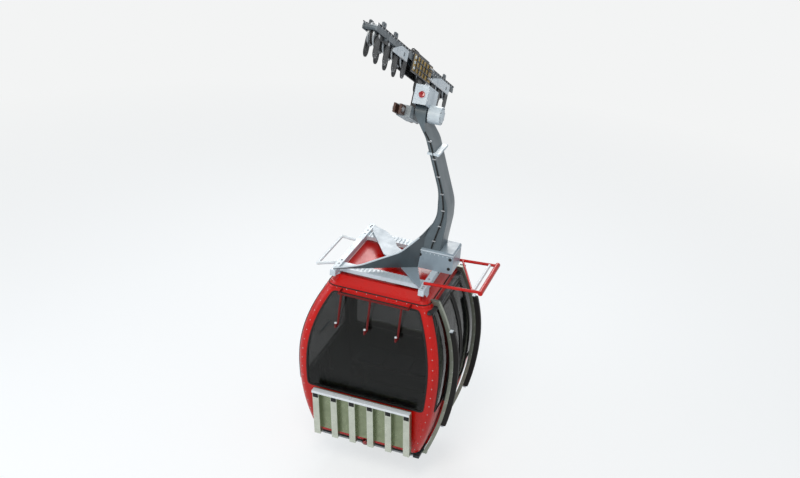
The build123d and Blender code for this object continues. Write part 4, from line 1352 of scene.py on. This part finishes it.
@dataclass
class CabinShell(Dresser):
    """Header band, gutter, skirt, panel screws, the signal lamps, and the stiffeners under the floor."""

    gutter: Section = (9.0, 12.0, 3.0)
    gutter_height: float = 1868.0
    gutter_out: float = 4.0
    header: Section = (16.0, 6.0, 2.5)
    header_height: float = 1838.0
    header_out: float = 2.0
    skirt: Section = (26.0, 8.0, 3.5)
    skirt_height: float = 46.0
    skirt_out: float = 2.0
    post_screw: float = 5.5
    post_screw_inset: float = 60.0
    post_screw_ends: tuple[float, float] = (120.0, 1800.0)
    post_screw_pitch: float = 112.0
    header_screw: float = 4.5
    header_screw_half: float = 440.0
    header_screw_height: float = 1852.0
    lamp_height: float = 40.0
    lamp_out: float = 2.0
    lamp_ring: Profile = ((0, -3), (36, -3), (36, 14), (31, 18), (27, 14), (0, 14))
    lamp_radius: float = 27.0
    lamp_foot: float = 14.0
    lamp_rise: float = 22.0
    stiffeners: tuple[float, ...] = (-420.0, -140.0, 140.0, 420.0)
    stiffener: Section = (80.0, 14.0, 5.0)
    stiffener_half: float = 470.0
    stiffener_sunk: float = 3.0
    rivet: float = 6.0
    rivet_pitch: float = 94.0
    rivet_beyond: float = 14.0
    drain: Profile = ((0, -2), (42, -2), (42, 5), (36, 8), (28, 8), (26, 4), (0, 4))

    def band(self, height: float, out: float, section: Section) -> Skin:
        """A band round the cabin at a height.

        Args:
            height: Height over the floor's underside.
            out: Distance outside the walls.
            section: The band's section.

        Returns:
            The band's skin.
        """
        points, away = FORM.plan(height, out)
        loop = smooth_path(points, 1, 60, looped=True)
        nearest = np.argmin(np.linalg.norm(loop[:, None] - points, axis=2), axis=1)
        return sweep(loop, rounded(*section), away[nearest], looped=True)

    def build(self) -> None:
        """Build the bands, the screws, the lamps and what lies under the floor."""
        gutter = self.band(self.gutter_height, self.gutter_out, self.gutter)
        self.piece("roof_gutter", [gutter], "moulded_rubber", Slot.BLACK_RUBBER)
        header = self.band(self.header_height, self.header_out, self.header)
        self.piece("header_band", [header], "cabin_lacquer", Slot.CABIN_RED)
        points, away = FORM.plan(self.skirt_height, self.skirt_out)
        three_sides = slice(len(points) // 8, -len(points) // 8)
        skirt = sweep(points[three_sides], rounded(*self.skirt), away[three_sides])
        self.piece("floor_skirt", [skirt], "moulded_rubber", Slot.BLACK_RUBBER)
        self.dress_panels()
        self.dress_lamps()
        self.dress_underside()

    def dress_panels(self) -> None:
        """A column of screws by each corner post, and a row along the header, on both end walls."""
        screws: list[Skin] = []
        low, high = self.post_screw_ends
        for wall in END_WALLS:
            for side in SIDES:
                for height in np.arange(low, high + 1, self.post_screw_pitch):
                    across = side * (FORM.side.half(height) - self.post_screw_inset)
                    screws.append(screw(*FORM.on_wall(wall, across, height), self.post_screw))
            for x in np.linspace(-self.header_screw_half, self.header_screw_half, 9):
                screws.append(screw(*FORM.on_wall(wall, x, self.header_screw_height), self.header_screw))
        self.piece("post_screws", screws, "bright_zinc")

    def dress_lamps(self) -> None:
        """A domed signal lamp in a rubber ring low on each end, under the ski rack.

        The dome is an ellipse turned about its height: radius r cos a and height h + c sin a.
        """
        angle = np.linspace(0, np.pi / 2, 9)
        height = self.lamp_foot + self.lamp_rise * np.sin(angle)
        dome = [(0, 4), *zip(self.lamp_radius * np.cos(angle), height)]
        rings: list[Skin] = []
        domes: list[Skin] = []
        for wall in END_WALLS:
            out = np.array([0, wall.value[1], 0])
            foot = FORM.on_wall(wall, 0, self.lamp_height, self.lamp_out)[0] + self.lamp_out * out
            rings.append(turned(foot, out, self.lamp_ring, 32))
            domes.append(turned(foot, out, dome, 32))
        self.piece("lamp_rings", rings, "moulded_rubber", Slot.BLACK_RUBBER)
        self.piece("lamp_domes", domes, "red_lens")

    def dress_underside(self) -> None:
        """Pressed stiffeners across the floor's underside, a rivet row along each edge, and a drain."""
        down, half = (0, 0, -1), self.stiffener_half
        wide, deep, _ = self.stiffener
        bars: list[Skin] = []
        rivets: list[Skin] = []
        for y in self.stiffeners:
            path = over_floor(np.linspace(-half, half, 12), y, self.stiffener_sunk - deep / 2)
            bars.append(sweep(path, rounded(*self.stiffener), down))
            for x in np.arange(-half, half + 1, self.rivet_pitch):
                for side in SIDES:
                    place = over_floor(x, y + side * (wide / 2 + self.rivet_beyond), 0)
                    rivets.append(screw(place, down, self.rivet))
        self.piece("floor_stiffeners", bars, "tread_aluminium", Slot.FLOOR_ALUMINIUM)
        self.piece("floor_rivets", rivets, "bright_zinc")
        drain = turned(over_floor(0, 0, 0), down, self.drain, 32)
        self.piece("floor_drain", [drain], "moulded_rubber", Slot.BLACK_RUBBER)


@dataclass
class Glazing(Dresser):
    """Rubber gaskets round every window, on the walls' curved faces."""

    section: Section = (20.0, 9.0, 4.0)
    proud: float = 1.0
    corner: float = 34.0
    leaf_low: float = 640.0
    leaf_high: float = 1758.0
    leaf_edges: tuple[float, float] = (33.0, 313.0)

    def gasket(
        self,
        name: str,
        wall: Wall,
        edges: Sequence[Barrel | float],
        heights: tuple[float, float] = (FORM.sill, FORM.lintel),
        out: float = 0.0,
        body: str | None = None,
    ) -> None:
        """Build one gasket: a rounded rectangle in (share across, height), laid on the wall's face.

        Args:
            name: The piece's name after "gasket_".
            wall: The wall that it lies on.
            edges: The window's left and right edges: a place across, or a barrel outline's side.
            heights: The window's lower and upper edges.
            out: How far outside the wall's face it lies.
            body: The body that it rides on, if not the cabin.
        """
        (low, high), full = heights, 1000
        flat = smooth_path([(0, low), (full, low), (full, high), (0, high)], self.corner, 45, looped=True)
        share, height = flat[:, 0] / full, flat[:, 1]
        left, right = (
            way * edge.half(height) if isinstance(edge, Barrel) else edge for way, edge in zip(SIDES, edges)
        )
        points, away = FORM.on_wall(wall, left + share * (right - left), height, out + self.proud)
        loop = sweep(points, rounded(*self.section), away, looped=True)
        self.piece(f"gasket_{name}", [loop], "moulded_rubber", Slot.BLACK_RUBBER, body)

    def build(self) -> None:
        """Build the gaskets of the end walls, the far side, the door wall and the leaves."""
        end = FORM.side.inset(FORM.end_window)
        side = FORM.end.inset(FORM.side_window)
        for wall in END_WALLS:
            self.gasket(wall.name.lower(), wall, (end, end))
        self.gasket("far_side", Wall.FAR_SIDE, (side, side))
        heights = (self.leaf_low, self.leaf_high)
        for name, way in ENDS.items():
            fixed = (side, way * FORM.door_edge)[::-way]
            self.gasket(f"door_wall_{name}", Wall.DOOR_SIDE, fixed)
            leaf = sorted(way * edge for edge in self.leaf_edges)
            self.gasket(f"leaf_{name}", Wall.DOOR_SIDE, leaf, heights, FORM.leaf_face, f"door_{name}")


@dataclass
class DoorSide(Dresser):
    """Meeting seals and screws of the door leaves, and the ribs' screws and brackets."""

    leaf_low: float = 40.0
    leaf_high: float = 1788.0
    seal: Section = (14.0, 10.0, 4.0)
    seal_place: float = 12.0
    seal_inset: float = 12.0
    leaf_screw: float = 5.5
    leaf_screws: tuple[float, ...] = (120.0, 240.0, 360.0, 480.0, 600.0)
    leaf_screw_places: tuple[float, float] = (36.0, 310.0)
    rib_place: float = 420.0
    rib_half: float = 20.0
    rib_out: float = 66.0
    rib_screw: float = 6.0
    rib_screw_pitch: float = 130.0
    rib_screw_margins: tuple[float, float] = (40.0, 20.0)
    rubber_low: float = 400.0
    rubber_high: float = 1560.0
    bracket: Section = (52.0, 12.0, 3.0)
    bracket_out: float = 80.0
    bracket_reach: float = 34.0
    bracket_beyond: float = 9.0

    def build(self) -> None:
        """Build the leaves' seals and screws, then what holds the ribs."""
        for name, way in ENDS.items():
            self.dress_leaf(name, way)
        self.dress_ribs()

    def dress_leaf(self, name: str, way: int) -> None:
        """A meeting seal up one leaf's closing edge, and two columns of screws in its panel.

        Args:
            name: Which end of the cabin the leaf is on.
            way: That end's way along Y.
        """
        wall, body = Wall.DOOR_SIDE, f"door_{name}"
        heights = np.linspace(self.leaf_low + self.seal_inset, self.leaf_high - self.seal_inset, 60)
        path, away = FORM.on_wall(wall, way * self.seal_place, heights, FORM.leaf_face)
        seal = sweep(path, rounded(*self.seal), away)
        self.piece(f"leaf_seal_{name}", [seal], "moulded_rubber", Slot.BLACK_RUBBER, body)
        screws = [
            screw(*FORM.on_wall(wall, way * across, height, FORM.leaf_face), self.leaf_screw)
            for height in self.leaf_screws
            for across in self.leaf_screw_places
        ]
        self.piece(f"leaf_screws_{name}", screws, "bright_zinc", body=body)

    def dress_ribs(self) -> None:
        """Screws in both flanks of the two stand-off ribs, and a bracket over and under each rubber."""
        wall = Wall.DOOR_SIDE
        ribs: list[Skin] = []
        brackets: list[Skin] = []
        start, end = self.rubber_low + self.rib_screw_margins[0], self.rubber_high - self.rib_screw_margins[1]
        for way in SIDES:
            place = way * self.rib_place
            for height in np.arange(start, end, self.rib_screw_pitch):
                for side in SIDES:
                    spot, _ = FORM.on_wall(wall, place + side * self.rib_half, height, self.rib_out)
                    ribs.append(screw(spot, (0, side, 0), self.rib_screw))
            for height in (self.rubber_low - self.bracket_beyond, self.rubber_high + self.bracket_beyond):
                spot, _ = FORM.on_wall(wall, place, height, self.bracket_out)
                path = np.linspace(spot, spot + (self.bracket_reach, 0, 0), 5)
                brackets.append(sweep(path, rounded(*self.bracket), (0, 0, 1)))
        self.piece("rib_screws", ribs, "bright_zinc")
        self.piece("rubber_brackets", brackets, "silver_enamel", Slot.SILVER_PAINT)


@dataclass
class Interior(Dresser):
    """Grab poles, bench cushions and the floor's mat, seen through the windows."""

    bench_height: float = 430.0
    bench_depth: float = 340.0
    bench_gap: float = 44.0
    seat_pitch: float = 322.0
    seat: tuple[float, float, float] = (156.0, 158.0, 24.0)
    seat_rise: float = 22.0
    seat_dip: float = 6.0
    pole: float = 15.0
    pole_place: float = 322.0
    pole_inset: float = 85.0
    pole_most: float = 640.0
    pole_top: float = 1850.0
    strut: Section = (26.0, 12.0, 5.0)
    strut_across: tuple[float, float] = (-560.0, -470.0)
    strut_heights: tuple[float, float] = (1330.0, 1480.0)
    strut_middle: float = 1400.0
    strut_inset: float = 70.0
    mat_height: float = 62.0
    mat_rib: Section = (14.0, 8.0, 3.0)
    mat_pitch: float = 40.0
    mat_half: tuple[float, float] = (500.0, 230.0)

    def build(self) -> None:
        """Build the cushions, the poles, the strut and the mat."""
        for name, way in ENDS.items():
            middle = way * (FORM.end.half(self.bench_height) - self.bench_gap - self.bench_depth / 2)
            height = self.bench_height + self.seat_rise
            seats = (over_floor(k * self.seat_pitch, middle, height) for k in (-1, 0, 1))
            pads = [cushion(place, self.seat, 0.22, self.seat_dip) for place in seats]
            seat = self.piece(f"bench_cushions_{name}", pads, "woven_cushion", Slot.BENCH_GREY)
        self.dress_poles()
        wide, long = self.mat_half
        run = np.linspace(-long, long, 8)
        ribs = [
            sweep(over_floor(x, run, self.mat_height), rounded(*self.mat_rib), (0, 0, 1))
            for x in np.arange(-wide, wide + 1, self.mat_pitch)
        ]
        self.piece("floor_mat_ribs", ribs, "moulded_rubber", Slot.BLACK_RUBBER)

    def dress_poles(self) -> None:
        """A grab pole by each door post, and a pale strut across an upper corner of the end window."""
        heights = np.linspace(self.mat_height, self.pole_top, 60)
        x = np.minimum(FORM.side.half(heights) - self.pole_inset, self.pole_most)
        paths = (over_floor(x, way * self.pole_place, heights) for way in SIDES)
        poles = [sweep(path, circle(self.pole, 14), (0, 1, 0)) for path in paths]
        self.piece("grab_poles", poles, "drawn_aluminium", Slot.ALUMINIUM)
        wall = self.strut_inset - FORM.end.half(self.strut_middle)
        ends = over_floor(self.strut_across, wall, self.strut_heights)
        strut = sweep(np.linspace(*ends, 6), rounded(*self.strut), (0, -1, 0))
        self.piece("corner_strut", [strut], "silver_enamel", Slot.SILVER_PAINT)


@dataclass
class SkiGear(Dresser):
    """Top rails, black painted-shade patches at the pocket mouths, foot rubbers and screws of the ski racks,
    and the hooks' fittings.
    """

    half: float = 545.0
    pitch: float = 205.0
    count: int = 6
    channel: float = 70.0
    bottom_out: float = 650.0
    top_out: float = 780.0
    low: float = 100.0
    high: float = 720.0
    depth: float = 68.0
    screw: float = 4.5
    screw_half: float = 24.0
    screw_shares: tuple[float, ...] = (0.12, 0.5, 0.88)
    rubber: Section = (16.0, 7.0, 3.0)
    rubber_inset: float = 4.0
    rubber_rise: float = 6.0
    rubber_out: float = 3.0
    mouth: Section = (58.0, 6.0, 2.0)
    mouth_shares: tuple[float, float] = (0.855, 0.94)
    mouth_proud: float = 4.0
    rail_beyond: float = 4.0
    shelf: Section = (64.0, 6.0, 2.0)
    shelf_place: tuple[float, float] = (-16.0, 2.0)
    lip: Section = (28.0, 7.0, 2.5)
    lip_place: tuple[float, float] = (14.0, -9.0)
    rod_out: float = 660.0
    rod_height: float = 1845.0
    hooks: tuple[float, ...] = (-350.0, -30.0, 310.0)
    hook_drop: float = 330.0
    hook_bend: float = 50.0
    hook_reach: float = 120.0
    button: tuple[float, float, float] = (12.5, 12.5, 8.0)
    clamp: float = 13.5
    clamp_half: float = 19.0

    def on_rack(self, way: int, x: Array | float, share: Array | float, out: float = 0.0) -> Array:
        """Places on a rack's leaning panel, by share of the way up it and level distance outside it."""
        reach = self.bottom_out + share * (self.top_out - self.bottom_out) + out
        return over_floor(x, way * reach, self.low + share * (self.high - self.low))

    def build(self) -> None:
        """Build what lies on the racks and the hooks."""
        lean = math.atan2(self.top_out - self.bottom_out, self.high - self.low)
        proud = (self.depth + self.mouth_proud) / math.cos(lean)
        reach = self.channel / 2 - self.rubber_inset
        screws: list[Skin] = []
        rubbers: list[Skin] = []
        shade_mouths: list[Skin] = []
        for way in SIDES:
            face = np.array([0, way * math.cos(lean), -math.sin(lean)])
            for x in (np.arange(self.count) - (self.count - 1) / 2) * self.pitch:
                for share in self.screw_shares:
                    for side in SIDES:
                        place = self.on_rack(way, x + side * self.screw_half, share) + face
                        screws.append(screw(place, face, self.screw))
                run = np.linspace(x - reach, x + reach, 5)
                foot = over_floor(run, way * self.bottom_out, self.low + self.rubber_rise)
                rubbers.append(sweep(foot + self.rubber_out * face, rounded(*self.rubber), face))
                # Black patches near each channel's top: painted shade standing for the dark open mouth of the
                # pocket
                path = self.on_rack(way, x, np.linspace(*self.mouth_shares, 4), proud)
                shade_mouths.append(sweep(path, rounded(*self.mouth), face))
        self.piece("rack_screws", screws, "bright_zinc")
        self.piece("rack_rubbers", rubbers, "moulded_rubber", Slot.BLACK_RUBBER)
        self.dress_tops()
        self.piece("rack_mouths", shade_mouths, "moulded_rubber", Slot.BLACK_RUBBER)
        self.dress_hooks()

    def dress_tops(self) -> None:
        """A bright angle along each rack's top: a level shelf, and a lip that hangs from its outer edge."""
        rails: list[Skin] = []
        half = self.half + self.rail_beyond
        run = np.linspace(-half, half, 8)
        edge = self.top_out + self.depth
        for way in SIDES:
            bars = ((self.shelf, self.shelf_place, (0, 0, 1)), (self.lip, self.lip_place, (0, way, 0)))
            for section, (out, rise), facing in bars:
                path = over_floor(run, way * (edge + out), self.high + rise)
                rails.append(sweep(path, rounded(*section), facing))
        self.piece("rack_top_rails", rails, "bright_aluminium", Slot.ALUMINIUM)

    def dress_hooks(self) -> None:
        """Pale rubber buttons on the hooks' upturned ends, and clamps on the rod over each hook."""
        buttons: list[Skin] = []
        clamps: list[Skin] = []
        tip_height = self.rod_height - self.hook_drop + self.hook_bend
        for way in SIDES:
            for x in self.hooks:
                tip = over_floor(x, way * (self.rod_out + self.hook_reach), tip_height)
                buttons.append(cushion(tip, self.button, 0.6))
                run = np.linspace(x - self.clamp_half, x + self.clamp_half, 4)
                rod = over_floor(run, way * self.rod_out, self.rod_height)
                clamps.append(sweep(rod, circle(self.clamp, 20), (0, 0, 1)))
        self.piece("hook_buttons", buttons, "white_enamel")
        self.piece("hook_clamps", clamps, "oxide_enamel", Slot.CABIN_RED)


# Camera, light and floor


@dataclass
class Studio:
    """The camera at the photograph's place, soft light and a pale floor. Sizes in metres."""

    camera_place: tuple[float, float, float] = (3.453, -11.054, 4.057)
    roll: float = math.radians(4.53)
    sensor: float = 36.0
    frame_shape: float = 478 / 800
    fill: float = 0.92
    floor_drop: float = 0.35
    floor_half: float = 30.0
    floor_glow: float = 0.72
    fade: tuple[float, float] = (6.5, 13.0)
    backdrop_colour: str = "#F3F4F4"
    shade_colour: str = "#9A9C9D"
    sky_colour: str = "#DCE6F0"
    sky_strength: float = 0.55
    lamps: tuple[tuple[str, tuple[float, float, float], float, float, str], ...] = (
        ("key", (0.5, -6.5, 6.5), 4.0, 450.0, "#FFF6EA"),
        ("fill", (-6.0, -4.0, 1.5), 5.0, 140.0, "#E6F0FF"),
        ("rim", (-2.0, 6.0, 4.0), 4.0, 220.0, "#FFFFFF"),
    )

    def make_camera(self, points: Array) -> None:
        """Aim the camera at the object's middle on screen, with the lens at which it fills the frame.

        Args:
            points: The object's points, as rows.
        """
        data = bpy.data.cameras.new("camera")
        camera = bpy.data.objects.new("camera", data)
        bpy.context.scene.collection.objects.link(camera)
        place = Vector(self.camera_place)
        aim = (Vector(points.mean(axis=0)) - place).normalized()
        for _ in range(6):
            turn = aim.to_track_quat("-Z", "Y").to_matrix() @ Matrix.Rotation(self.roll, 3, "Z")
            seen = (points - np.array(place)) @ np.array(turn)
            flat = seen[:, :2] / -seen[:, 2:]
            low, high = flat.min(axis=0), flat.max(axis=0)
            middle = (low + high) / 2
            aim = (turn @ Vector((middle[0], middle[1], -1.0))).normalized()
        camera.matrix_world = Matrix.Translation(place) @ turn.to_4x4()
        across, up = high - low
        data.sensor_width = self.sensor
        data.lens = self.fill * self.sensor * min(self.frame_shape / up, 1 / across)
        data.clip_end = 400.0
        bpy.context.scene.camera = camera

    def sight(self, tree: Tree) -> Socket:
        """Tell the rays by which the backdrop is seen: straight, in gloss and through glass.

        Args:
            tree: The floor's or the world's node tree.

        Returns:
            A value that is 1 for such rays and 0 for the rest.
        """
        rays = add_node(tree, "LightPath")
        seen = rays["Is Camera Ray"]
        for kind in ("Is Glossy Ray", "Is Transmission Ray"):
            seen = add_node(tree, "Math", {"operation": "MAXIMUM"}, {0: seen, 1: rays[kind]})[0]
        return seen

    def make_floor(self, low: Vector) -> None:
        """Lay the pale floor under the hanging car: it fades to the backdrop, and hides nothing from below.

        Args:
            low: The object's lowest corner.
        """
        half, level = self.floor_half, low.z - self.floor_drop
        corners = [(-half, -half, level), (half, -half, level), (half, half, level), (-half, half, level)]
        mesh = bpy.data.meshes.new("floor")
        mesh.from_pydata(corners, [], [(0, 1, 2, 3)])
        floor = bpy.data.objects.new("floor_stage", mesh)
        bpy.context.scene.collection.objects.link(floor)
        material = bpy.data.materials.new("floor_paper")
        mesh.materials.append(material)
        tree = new_tree(material)
        backdrop = linear(self.backdrop_colour)
        paper, shaded = (
            add_node(
                tree, "BsdfPrincipled", {"Base Color": colour, "Roughness": 0.9, "Specular IOR Level": 0.1}
            )[0]
            for colour in (backdrop, linear(self.shade_colour))
        )
        glow, bright = (
            add_node(tree, "Emission", {"Color": backdrop, "Strength": strength})[0]
            for strength in (self.floor_glow, 1.0)
        )
        near = add_node(tree, "AddShader", None, {0: shaded, 1: glow})[0]
        place = add_node(tree, "TexCoord")["Object"]
        distance = add_node(tree, "VectorMath", {"operation": "LENGTH"}, {0: place})["Value"]
        settings = {1: self.fade[0], 2: self.fade[1], 3: 0.0, 4: 1.0}
        far = add_node(tree, "MapRange", settings, {0: distance})[0]
        faded = add_node(tree, "MixShader", None, {0: far, 1: near, 2: bright})[0]
        upper = add_node(tree, "MixShader", None, {0: self.sight(tree), 1: paper, 2: faded})[0]
        clear = add_node(tree, "BsdfTransparent")[0]
        under = add_node(tree, "NewGeometry")["Backfacing"]
        sided = add_node(tree, "MixShader", None, {0: under, 1: upper, 2: clear})[0]
        add_node(tree, "OutputMaterial", None, {"Surface": sided})
        floor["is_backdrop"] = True

    def make_world(self) -> None:
        """Light the object evenly, and show a pale backdrop to the eye, to gloss and through glass."""
        world = bpy.data.worlds.new("studio")
        bpy.context.scene.world = world
        tree = new_tree(world)
        light, shown = (
            add_node(tree, "Background", {"Color": linear(colour), "Strength": strength})[0]
            for colour, strength in ((self.sky_colour, self.sky_strength), (self.backdrop_colour, 1.0))
        )
        mixed = add_node(tree, "MixShader", None, {0: self.sight(tree), 1: light, 2: shown})[0]
        add_node(tree, "OutputWorld", None, {"Surface": mixed})

    def make_lamps(self, centre: Vector) -> None:
        """Set a large soft key lamp, a fill and a rim around the object.

        Args:
            centre: The object's centre.
        """
        for name, offset, size, power, colour in self.lamps:
            data = bpy.data.lights.new(name, "AREA")
            data.shape = "DISK"
            data.size = size
            data.energy = power
            data.color = linear(colour)[:3]
            lamp = bpy.data.objects.new(name, data)
            bpy.context.scene.collection.objects.link(lamp)
            place = centre + Vector(offset)
            turn = (centre - place).normalized().to_track_quat("-Z", "Y").to_matrix()
            lamp.matrix_world = Matrix.Translation(place) @ turn.to_4x4()


def dress_nodes(frame: Mapping[str, object], finishes: Mapping[str, bpy.types.Material]) -> None:
    """Give every CAD node its own finish or that of its material slot.

    Args:
        finishes: Built materials by name.
    """
    slots = {s["node"]: s["material_slot"] for s in frame["record"]["subparts"]}
    for name, node in frame["nodes"].items():
        finish = NODE_FINISHES.get(name) or SLOT_FINISHES[Slot(slots[name])]
        node.data.materials.clear()
        node.data.materials.append(finishes[finish])
        LOG.info("dressed %s in %s", name, finish)


def main() -> None:
    """Load the frame, dress it, add the sub-assemblies' fittings and set the stage."""
    logging.basicConfig(level=logging.INFO, format="%(name)s: %(message)s")
    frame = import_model()
    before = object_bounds()
    low, high = (Vector(corner) for corner in before)
    nodes = frame["nodes"]
    finishes = {finish.name: finish.build() for finish in FINISHES}
    dress_nodes(frame, finishes)
    carriage = (Wheels, CarriageFrame, RopeBrake, PivotBracket, HeadCover)
    cabin = (HangerTrim, RoofFrame, CabinShell, Glazing, DoorSide, Interior, SkiGear)
    for group in carriage + cabin:
        LOG.info("building %s", group.__name__)
        group(nodes, finishes).build()
    studio = Studio()
    studio.make_camera(np.concatenate([node_points(node) for node in nodes.values()]))
    studio.make_floor(low)
    studio.make_world()
    studio.make_lamps((low + high) / 2)
    bpy.context.scene.view_settings.view_transform = "Standard"


if __name__ == "__main__":
    main()
